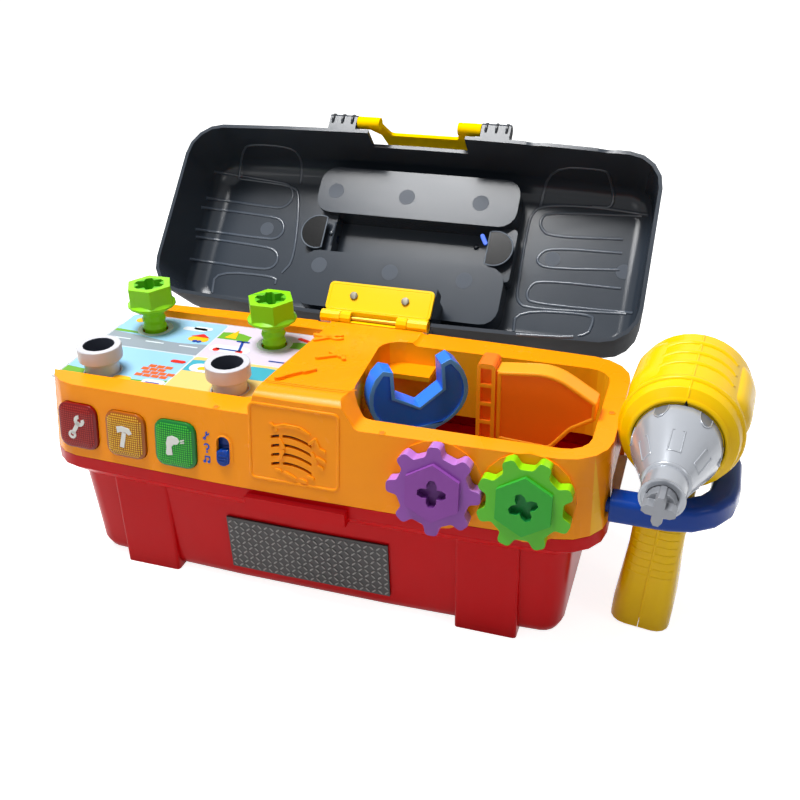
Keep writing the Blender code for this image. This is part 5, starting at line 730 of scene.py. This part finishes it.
for outline in (
    block(0.0020, -0.0026, 0.0125, 0.0026, 0.0022), bar((-0.0100, 0), (0.0022, 0), 0.0022),
    bar((-0.0136, 0), (-0.0100, 0), 0.0034),
):
    add_slab(work, outline, -lift, lift, place)
make("block_pictures", work, ORANGE, "tray", 0.0008)
work = bmesh.new()
line = eased([(-0.0225, -0.0470), (0.0255, -0.0470), (0.0290, -0.0430)])
add_bead(work, line, 0.0002, 0.0003, BLOCK_TOP, closed=False)
make("block_line", work, ORANGE, "tray")


# Picture card: four plain scenes in flat colours, with a pale edge round the card and its holes
CARD_HOLES = [(x, y) for _, x in COLUMNS for y in (SCREW_Y, PEG_Y)]
HOLE_RADIUS = 0.0112
HOLES = [disc(middle, HOLE_RADIUS, 28) for middle in CARD_HOLES]
INK_STEP = 0.00004
FAR_LEFT = block(-0.1650, 0.0045, -0.0955, 0.0500, 0.002)
NEAR_LEFT = block(-0.1650, -0.0420, -0.0955, 0.0035, 0.002)
FAR_RIGHT = block(-0.0945, 0.0045, -0.0306, 0.0500, 0.002)
NEAR_RIGHT = block(-0.0945, -0.0420, -0.0306, 0.0035, 0.002)


def clear_of_holes(outline):
    """Outline with its points moved out of the card's holes."""
    path = []
    for (a, b), (c, d) in zip(outline, outline[1:] + outline[:1]):
        count = max(1, int(math.hypot(c - a, d - b) / MM))
        for step in range(count):
            x, y = a + (c - a) * step / count, b + (d - b) * step / count
            for hole_x, hole_y in CARD_HOLES:
                gap = math.hypot(x - hole_x, y - hole_y)
                if gap < HOLE_RADIUS:
                    x = hole_x + (x - hole_x) * HOLE_RADIUS / gap
                    y = hole_y + (y - hole_y) * HOLE_RADIUS / gap
            path.append((x, y))
    return path


def card_sheet(name, outlines, level, finish):
    """Printed areas of one colour; those that reach a hole are cut round it."""
    work = bmesh.new()
    for outline in map(clear_of_holes, outlines):
        xs, ys = zip(*outline)
        holes = []
        for hole, (x, y) in zip(HOLES, CARD_HOLES):
            across = min(xs) < x - HOLE_RADIUS and max(xs) > x + HOLE_RADIUS
            if across and min(ys) < y - HOLE_RADIUS and max(ys) > y + HOLE_RADIUS:
                holes.append(hole)
        add_sheet(work, outline, holes, CARD_TOP + level * INK_STEP)
    make(name, work, finish, "picture_card")


def hills(low_x, high_x, foot, tops):
    """A ground outline with a wavy top."""
    step = (high_x - low_x) / (len(tops) - 1)
    crest = [(low_x + step * index, top) for index, top in enumerate(tops)]
    return [(low_x, foot), (high_x, foot)] + list(reversed(eased(crest)))


def brick(row, column):
    """One brick of a wall; every second row is set off."""
    right, up, off = 0.0055 * column, 0.0040 * row, 0.0027 * (row % 2)
    return block(-0.1190 + right + off, -0.0290 + up, -0.1142 + right + off, -0.0256 + up)


card_sheet("print_sky", [FAR_LEFT, NEAR_LEFT], 1, SKY)
card_sheet("print_lilac", [FAR_RIGHT], 1, LILAC_PRINT)
card_sheet("print_sand", [NEAR_RIGHT], 1, SAND)
card_sheet("print_road", [hills(-0.1650, -0.0955, 0.0047, (0.0235, 0.0215, 0.0185, 0.0175, 0.0205))], 2, ROAD)
card_sheet("print_grass", [
    hills(-0.1650, -0.0955, -0.0418, (-0.0285, -0.0305, -0.0330, -0.0345, -0.0300)),
    hills(-0.1650, -0.1400, 0.0235, (0.0270, 0.0262, 0.0240)),
    hills(-0.0943, -0.0730, 0.0310, (0.0400, 0.0420, 0.0380)),
    hills(-0.0500, -0.0308, 0.0300, (0.0345, 0.0400, 0.0380)),
], 3, GRASS)
card_sheet("print_sea", [hills(-0.0943, -0.0308, -0.0150, (-0.0010, 0.0012, -0.0002, 0.0014, -0.0006))], 2, SEA)
card_sheet("print_brick", [brick(row, column) for row in range(4) for column in range(4 - row // 2)], 4, BRICK)
card_sheet("print_white", [
    bar((-0.1200, 0.0390), (-0.1080, 0.0390), 0.0052), bar((-0.1130, 0.0410), (-0.1050, 0.0410), 0.0050),
    bar((-0.1590, -0.0030), (-0.1480, -0.0030), 0.0046), bar((-0.1120, 0.0145), (-0.1000, 0.0145), 0.0012),
    bar((-0.1600, 0.0145), (-0.1480, 0.0145), 0.0012), bar((-0.1360, 0.0145), (-0.1240, 0.0145), 0.0012),
    bar((-0.0880, 0.0180), (-0.0700, 0.0180), 0.0095), bar((-0.0865, -0.0098), (-0.0730, -0.0098), 0.0105),
    bar((-0.1075, -0.0340), (-0.0985, -0.0340), 0.0060),
], 4, CLOUD)
card_sheet("print_sun", [
    bar((-0.1090, 0.0260), (-0.1010, 0.0260), 0.0062), disc((-0.1560, 0.0420), 0.0032),
    bar((-0.1265, -0.0345), (-0.1205, -0.0350), 0.0060), bar((-0.0840, -0.0105), (-0.0740, -0.0090), 0.0042),
    [(-0.0900, 0.0330), (-0.0850, 0.0450), (-0.0820, 0.0330)],
    bar((-0.0420, -0.0370), (-0.0350, -0.0330), 0.0030),
], 5, SUN)
card_sheet("print_navy", [
    bar((-0.0870, 0.0172), (-0.0720, 0.0172), 0.0016), bar((-0.0720, 0.0172), (-0.0755, 0.0300), 0.0018),
    bar((-0.0790, 0.0300), (-0.0715, 0.0300), 0.0018), bar((-0.1068, -0.0356), (-0.0992, -0.0356), 0.0020),
    disc((-0.1060, 0.0230), 0.0017, 12), disc((-0.1030, 0.0230), 0.0017, 12),
    bar((-0.0480, 0.0100), (-0.0360, 0.0100), 0.0014),
], 6, NAVY)
card_sheet("print_red", [
    disc((-0.0872, 0.0160), 0.0024, 16), disc((-0.0715, 0.0160), 0.0024, 16),
    [(-0.1120, 0.0290), (-0.1050, 0.0340), (-0.0985, 0.0290)],
    bar((-0.1050, -0.0060), (-0.0985, -0.0060), 0.0036),
    [(-0.0800, -0.0060), (-0.0765, -0.0005), (-0.0742, -0.0064)],
    bar((-0.0420, 0.0440), (-0.0340, 0.0410), 0.0032),
], 6, SCARLET)
work = bmesh.new()
for x, y in CARD_HOLES:
    add_bead(work, disc((x, y), HOLE_RADIUS, 28), CARD_TOP + 0.0001, 0.0004, flat=0.6)
add_bead(work, block(-0.1659, -0.0429, -0.0299, 0.0508, 0.0016), CARD_TOP + 0.0001, 0.0004, flat=0.6)
make("card_edges", work, CARD, "picture_card")


# Label: plain plate of diamond tread
def tub_face(x, height):
    return -(0.063 - 0.0085 - 0.0025 * (1 - (height - 0.0025) / 0.0605)) - 0.0045 * (1 - (x / 0.151) ** 2)


work = bmesh.new()
PITCH = 0.0052
LOZENGE = [
    (-0.0017, 0), (-0.0009, -0.00042), (0.0009, -0.00042),
    (0.0017, 0), (0.0009, 0.00042), (-0.0009, 0.00042),
]
for row in range(10):
    for column in range(26):
        x = -0.0480 + column * PITCH * 0.74
        z = 0.0146 + row * PITCH * 0.68
        if x > 0.0485 or z > 0.0482:
            continue
        y = tub_face(x, z) - 0.0015
        slope = math.atan2(tub_face(x, z + MM) - tub_face(x, z), MM)
        yaw = math.atan2(tub_face(x + MM, z) - tub_face(x, z), MM)
        place = (
            Matrix.Translation((x, y, z)) @ Matrix.Rotation(yaw, 4, "Z")
            @ Matrix.Rotation(math.pi / 2 - slope, 4, "X")
            @ Matrix.Rotation(math.radians(45 if (row + column) % 2 else -45), 4, "Z")
        )
        add_slab(work, LOZENGE, -0.0001, 0.00028, place)
make("label_tread", work, TREAD, "label_plate")

# Lid: raised outlines on the inner skin, laid on the surface itself, in a lighter grey as painted highlight
lid_tree = skin_tree("lid_shell")
lid_back = LID.inverted()
LID_MIDDLE = Vector((0, -0.07, 0.02))


def lid_outside(centre, normal):
    """Faces of the outer skin: they look away from the middle, and nothing stands before them."""
    heading = lid_back.to_3x3() @ normal
    if heading.z < -0.5 or (lid_back @ centre - LID_MIDDLE).dot(heading) < 0:
        return False
    return lid_tree.ray_cast(centre + normal * MM, normal)[0] is None


paint_faces(FINISHED["lid_shell"], LID_OUTSIDE, lid_outside)


def cling(path, depth):
    """Points of a path in the lid's plan, and the skin's direction there."""
    points, ups = [], []
    for x, q in path:
        aim = LID @ Vector((x * MM, -q * MM, depth))
        hit, normal, _, _ = lid_tree.ray_cast(EYE, (aim - EYE).normalized())
        if hit:
            if normal.dot(EYE - hit) < 0:
                normal = -normal
            points.append(hit)
            ups.append(normal)
    return points, ups


def fine(path, step=3.0):
    """Path with points no further apart than the step."""
    dense = [path[0]]
    for a, b in zip(path, path[1:]):
        count = max(1, int(math.dist(a, b) / step))
        for i in range(1, count + 1):
            dense.append((a[0] + (b[0] - a[0]) * i / count, a[1] + (b[1] - a[1]) * i / count))
    return dense


CEILING = 0.0467
RELIEF = {
    "left_panel": ((-146, 114), (-101, 112), (-94, 105), (-86, 54), (-93, 43)),
    "left_top": ((-146, 114), (-149, 138), (-144, 143), (-110, 143), (-100, 134), (-97, 124), (-96, 114)),
    "left_bottom": ((-143, 22), (-145, 39), (-96, 40), (-96, 34)),
    "left_high": ((-168, 118), (-112, 114), (-103, 112), (-98, 103), (-103, 94), (-112, 93), (-168, 96)),
    "left_middle": ((-170, 88), (-112, 86), (-103, 84), (-99, 76), (-103, 69), (-112, 68), (-170, 70)),
    "left_low": ((-168, 64), (-112, 62), (-102, 60), (-98, 53), (-101, 46), (-110, 44), (-168, 46)),
    "right_top": ((83, 112), (85, 142), (121, 143), (126, 139), (134, 115), (118, 115)),
    "right_panel": (
        (156, 112), (118, 115), (85, 113), (79, 107), (77, 99), (78, 49), (80, 41), (87, 37), (152, 41),
    ),
    "right_high": ((152, 111), (90, 108), (85, 103), (86, 96), (93, 90), (142, 93)),
    "right_middle": ((143, 83), (95, 82), (88, 76), (88, 70), (96, 67), (143, 71)),
    "right_low": ((146, 58), (92, 58), (86, 53), (85, 45), (90, 41), (156, 42)),
    "right_bottom": ((81, 19), (80, 35), (130, 38), (132, 33), (129, 21), (83, 18)),
}
work = bmesh.new()
for path in RELIEF.values():
    add_runs(work, zip(*cling(fine(eased(path)), CEILING)), 0.009, 0.0011, 0.55)
# The outlines are a lighter grey than the lid: painted highlight.
make("lid_relief", work, RELIEF_GREY_HIGHLIGHT, "lid_shell", angle=SMOOTH_ANGLE)
work = bmesh.new()
for x, q in ((-59, 102), (-6.5, 101.6), (46, 101.7), (-58.5, 45.2), (-6.8, 45.2), (45.4, 45)):
    place = LID @ Matrix.Translation((x * MM, -q * MM, BAR_DEPTH))
    add_slab(work, disc((0, 0), 0.0057, 28), -0.00012, 0.0001, place)
for x, q in ((-113, 76), (98, 74), (146, 70)):
    points, ups = cling([(x, q)], CEILING)
    if points:
        place = Matrix.Translation(points[0]) @ ups[0].to_track_quat("Z", "Y").to_matrix().to_4x4()
        add_slab(work, disc((0, 0), 0.0052, 28), -0.0001, 0.00012, place)
make("lid_ejector_marks", work, MARK_GREY, "lid_shell")
work = bmesh.new()
for x in (-62.7, 44.5):
    points, ups = cling([(x, 77.2)], CEILING)
    place = Matrix.Translation(points[0]) @ ups[0].to_track_quat("Z", "Y").to_matrix().to_4x4()
    add_turned(work, [(0.0, 0.0016), (0.0012, 0.0014), (0.0018, 0.0007), (0.0019, -0.0004)], place, 20)
for side in (-1, 1):
    points, ups = cling([(side * 57 - 4, 77.2 - 9), (side * 57 - 4, 77.2 + 9)], CEILING)
    if len(points) == 2:
        add_rope(work, points, ups, 0.0006)
make("lid_studs", work, GREY, "lid_shell")

# Lid pockets: a black D-shaped face in each as painted shade, a light lip round it as painted highlight, and
# the blue end of a pivot in the right one
for side, label, x in ((-1, "left", -65), (1, "right", 61.5)):
    place = LID @ Matrix.Translation((x * MM, -0.0698, BAR_DEPTH))
    turn = math.acos(4.8 / 12.3)
    opening = arc((0, 0), 0.0123, -math.pi + turn, math.pi - turn, 28)
    if side < 0:
        opening = [(-a, b) for a, b in reversed(opening)]
    work = bmesh.new()
    # The black D-shape is painted shade where the pocket goes deep.
    add_slab(work, opening, -0.0003, 0.0002, place)
    make("lid_pocket_" + label, work, BLACK, "lid_shell")
    work = bmesh.new()
    # The lighter lip is a painted highlight on the pocket's edge.
    add_bead(work, opening, -0.0002, 0.0005, place)
    make("lid_pocket_lip_" + label, work, LIP_GREY_HIGHLIGHT, "lid_shell")
work = bmesh.new()
place = LID @ Matrix.Translation((0, 0, BAR_DEPTH))
add_slab(work, bar((0.0520, -0.0775), (0.0550, -0.0725), 0.0032), -0.0016, 0.0002, place)
make("pivot_end", work, BLUE, "lid_shell", 0.0005, slot="tool_blue")

# Latch end of the lid: fine bands round the dark lugs
BAND = [(0.0047, -0.0008), (0.0052, -0.0006), (0.0052, 0.0006), (0.0047, 0.0008)]
work = bmesh.new()
for side in (-1, 1):
    for x in (47, 54, 61):
        place = LID @ Matrix.Translation((side * x * MM, -0.1418, 0.0028))
        add_turned(work, BAND, place @ Matrix.Rotation(math.pi / 2, 4, "Y"), 24)
make("lug_bands", work, DARK, "lid_shell")

# Hinge: fine line round the leaf and screw heads with a black cross, painted shade for the cross recess
work = bmesh.new()
place = LID @ Matrix.Translation((0, 0, 0.0006))
add_bead(work, block(-0.0338, -0.0232, 0.0338, -0.0058, 0.002), 0.0, 0.0004, place, flat=0.5)
make("leaf_line", work, YELLOW, "hinge_leaf")
work = bmesh.new()
for x in (-0.0175, 0.0175):
    place = LID @ Matrix.Translation((x, -0.0155, -0.0004))
    for turn in (0, math.pi / 2):
        add_slab(work, rotated(block(-0.0014, -0.0002, 0.0014, 0.0002), turn), -0.0001, 0.00012, place)
# The black cross is painted shade in the screw's recess.
make("leaf_screw_cross", work, BLACK, "hinge_screw_left")

# Drill: two side humps, three arched ribs, two rings, a dark notch and line, a moulded seam and grip ridges
drill_tree = skin_tree("drill_shell_left", "drill_shell_right")
HUMP_STEPS, HUMP_RISE, HUMP_MIDDLE, HUMP_HALF_LENGTH = 8, 0.0031, -0.0035, 0.0215
HUMP_HALF_TURN = math.radians(21)
work = bmesh.new()
for middle in (math.radians(24), math.radians(143)):
    rows = []
    for step in range(2 * HUMP_STEPS + 1):
        along = -1 + step / HUMP_STEPS
        row = []
        for part in range(2 * HUMP_STEPS + 1):
            across = -1 + part / HUMP_STEPS
            rise = HUMP_RISE * (1 - abs(across) ** 3) * (1 - along ** 6)
            turn, z = middle + across * HUMP_HALF_TURN, HUMP_MIDDLE + along * HUMP_HALF_LENGTH
            row.append(skin_round(drill_tree, DRILL, turn, z, rise - 0.0004)[0])
        rows.append(row)
    add_grid(work, rows)
make("drill_humps", work, YELLOW, "drill_shell_left", angle=SMOOTH_ANGLE)
work = bmesh.new()
for z in (-0.0190, -0.0070, 0.0050):
    path, ups = [], []
    for step in range(24):
        across = step / 11.5 - 1
        turn = math.radians(90 + 40 * across)
        end = across ** 4
        point, up = skin_round(drill_tree, DRILL, turn, z + 0.003 * end, -0.0002 - 0.0006 * end)
        path.append(point)
        ups.append(up)
    add_rope(work, path, ups, 0.0021, sides=12, flat=0.6)
make("drill_ribs", work, YELLOW, "drill_shell_left", angle=SMOOTH_ANGLE)
work = bmesh.new()
add_turned(work, [
    (0.0305, 0.0195), (0.0319, 0.0205), (0.0321, 0.0225), (0.0312, 0.0240), (0.0300, 0.0240),
], DRILL, 64)
add_turned(work, [(0.0226, 0.0338), (0.0232, 0.0347), (0.0244, 0.0347), (0.0256, 0.0335)], DRILL, 64)
make("drill_rings", work, YELLOW, "drill_shell_left", angle=SMOOTH_ANGLE)
work = bmesh.new()
add_slab(work, [(-0.0010, 0.0222), (0.0010, 0.0222), (0.0, 0.0252)], 0.0346, 0.0349, DRILL)
add_turned(work, [(0.0219, 0.0335), (0.0227, 0.0342), (0.0229, 0.0348)], DRILL, 64)
make("drill_notch", work, BLACK, "drill_shell_left")
work = bmesh.new()
SEAM_SIDE = 0.0006
top_line = [(SEAM_SIDE, 0.08, -0.0335 + 0.0022 * step) for step in range(31)]
grip_line = [(SEAM_SIDE, -0.0450 - 0.0024 * step, 0.09) for step in range(32)]
for starts, heading in ((top_line, (0, -1, 0)), (grip_line, (0, 0, -1))):
    pairs = []
    for start in starts:
        point, up = skin_at(drill_tree, DRILL, start, heading, 0.00005)
        if point:
            pairs.append((point - DRILL.to_3x3() @ Vector((SEAM_SIDE, 0, 0)), up))
    add_runs(work, pairs, 0.006, 0.0007, 0.5)
make("drill_seam", work, YELLOW, "drill_shell_left", angle=SMOOTH_ANGLE)
work = bmesh.new()
for row in range(9):
    path, ups = [], []
    for step in range(15):
        x = (step / 7 - 1) * (0.0108 + 0.0002 * row)
        point, up = skin_at(drill_tree, DRILL, (x, -0.0480 - row * 0.0052, 0.09), (0, 0, -1), -0.0002)
        if point:
            path.append(point)
            ups.append(up)
    if len(path) > 3:
        add_rope(work, path, ups, 0.0007, flat=0.7)
make("drill_grip_ridges", work, YELLOW, "drill_shell_left", angle=SMOOTH_ANGLE)

# Chuck: six flutes painted darker as shade, with lips at the rear edge, six long loops and two fine rings
chuck_tree = skin_tree("drill_chuck")
work = bmesh.new()
lips = bmesh.new()
for index in range(6):
    turn = math.radians(60 * index)
    rows, edge_left, edge_right = [], [], []
    for step in range(9):
        z = 0.0352 + 0.0012 * step
        half = 0.0036 * math.sqrt(max(0.02, 1 - (step / 8) ** 3))
        row = []
        for part in range(7):
            point, up = skin_round(chuck_tree, DRILL, turn + (part / 3 - 1) * half / 0.0215, z, 0.00016)
            row.append(point)
            if part == 0:
                edge_left.append((point, up))
            if part == 6:
                edge_right.append((point, up))
        rows.append(row)
    add_grid(work, rows)
    lip = edge_left + edge_right[::-1]
    add_rope(lips, [point for point, _ in lip], [up for _, up in lip], 0.0004, sides=6)
# The flute sheets are a darker silver: painted shade in the scallops.
make("chuck_flutes", work, SILVER_PAINTED_SHADE, "drill_chuck", angle=SMOOTH_ANGLE)
make("chuck_flute_lips", lips, SILVER, "drill_chuck", angle=SMOOTH_ANGLE)
work = bmesh.new()
for index in range(6):
    turn = math.radians(30 + 60 * index)
    outline = [(-2.0, 53.0), (-3.1, 53.0), (-3.1, 65.2), (3.1, 65.2), (3.1, 53.0), (2.0, 53.0)]
    path, ups = [], []
    for across, z in fine(outline, 1.2):
        radius = 21.9 - 10.4 * (z - 43.5) / 28.5
        point, up = skin_round(chuck_tree, DRILL, turn + across / radius, z * MM, 0.0)
        path.append(point)
        ups.append(up)
    add_rope(work, path, ups, 0.0004, sides=6)
add_turned(work, [(0.0110, 0.0716), (0.0119, 0.0722), (0.0119, 0.0732), (0.0106, 0.0738)], DRILL, 48)
add_turned(work, [(0.0104, 0.0856), (0.0110, 0.0860), (0.0110, 0.0866), (0.0098, 0.0868)], DRILL, 48)
make("chuck_loops", work, SILVER, "drill_chuck", angle=math.radians(70))


# Camera, floor and light
LENS, SOFT_STRENGTH, FLOOR_BASE, FLOOR_GLOW = 45.54, 0.22, 0.7, 0.86
camera = bpy.data.objects.new("camera", bpy.data.cameras.new("camera"))
bpy.context.scene.collection.objects.link(camera)
camera.data.lens = LENS
camera.matrix_world = Matrix((
    (0.9502, -0.1358, 0.2803, EYE.x), (0.3110, 0.4664, -0.8281, EYE.y), (-0.0183, 0.8741, 0.4855, EYE.z),
    (0, 0, 0, 1),
))
bpy.context.scene.camera = camera


def add_lamp(name, place, target, size, power):
    lamp = bpy.data.lights.new(name, "AREA")
    lamp.shape = "DISK"
    lamp.size = size
    lamp.energy = power
    item = bpy.data.objects.new(name, lamp)
    bpy.context.scene.collection.objects.link(item)
    item.location = place
    item.rotation_euler = (Vector(target) - Vector(place)).to_track_quat("-Z", "Y").to_euler()


add_lamp("top_light", (-0.30, -0.05, 1.4), (0, 0, 0.1), 0.6, 26)
add_lamp("front_light", (-0.7, -1.3, 0.9), (0, 0, 0.1), 0.6, 1.6)
add_lamp("right_light", (1.4, -0.5, 0.9), (0.1, 0, 0.1), 0.5, 2)


def white_to_rays(tree):
    """One where the camera or a glossy or clear surface looks, and nothing for diffuse light."""
    rays = tree.nodes.new("ShaderNodeLightPath")
    last = rays.outputs["Is Camera Ray"]
    for kind in ("Is Glossy Ray", "Is Transmission Ray"):
        either = tree.nodes.new("ShaderNodeMath")
        either.operation = "MAXIMUM"
        tree.links.new(last, either.inputs[0])
        tree.links.new(rays.outputs[kind], either.inputs[1])
        last = either.outputs[0]
    return last


world = bpy.data.worlds.new("studio")
bpy.context.scene.world = world
world.use_nodes = True
tree = world.node_tree
backdrop = tree.nodes["Background"]
backdrop.inputs["Color"].default_value = (1, 1, 1, 1)
backdrop.inputs["Strength"].default_value = SOFT_STRENGTH
white = tree.nodes.new("ShaderNodeBackground")
white.inputs["Color"].default_value = (1, 1, 1, 1)
white.inputs["Strength"].default_value = 1
mix = tree.nodes.new("ShaderNodeMixShader")
tree.links.new(white_to_rays(tree), mix.inputs[0])
tree.links.new(backdrop.outputs[0], mix.inputs[1])
tree.links.new(white.outputs[0], mix.inputs[2])
tree.links.new(mix.outputs[0], tree.nodes["World Output"].inputs["Surface"])

floor_mesh = bpy.data.meshes.new("floor")
work = bmesh.new()
bmesh.ops.create_grid(work, x_segments=1, y_segments=1, size=4)
work.to_mesh(floor_mesh)
work.free()
floor = bpy.data.objects.new("floor", floor_mesh)
bpy.context.scene.collection.objects.link(floor)
paint = bpy.data.materials.new("floor")
paint.use_nodes = True
tree = paint.node_tree
matt = tree.nodes["Principled BSDF"]
matt.inputs["Base Color"].default_value = (FLOOR_BASE, FLOOR_BASE, FLOOR_BASE, 1)
matt.inputs["Roughness"].default_value = 0.9
matt.inputs["Specular IOR Level"].default_value = 0.1
glow = tree.nodes.new("ShaderNodeEmission")
share = tree.nodes.new("ShaderNodeMath")
share.operation = "MULTIPLY"
share.inputs[1].default_value = FLOOR_GLOW
tree.links.new(white_to_rays(tree), share.inputs[0])
tree.links.new(share.outputs[0], glow.inputs["Strength"])
both = tree.nodes.new("ShaderNodeAddShader")
tree.links.new(matt.outputs[0], both.inputs[0])
tree.links.new(glow.outputs[0], both.inputs[1])
tree.links.new(both.outputs[0], tree.nodes["Material Output"].inputs["Surface"])
floor_mesh.materials.append(paint)

bpy.context.scene.view_settings.view_transform = "Standard"
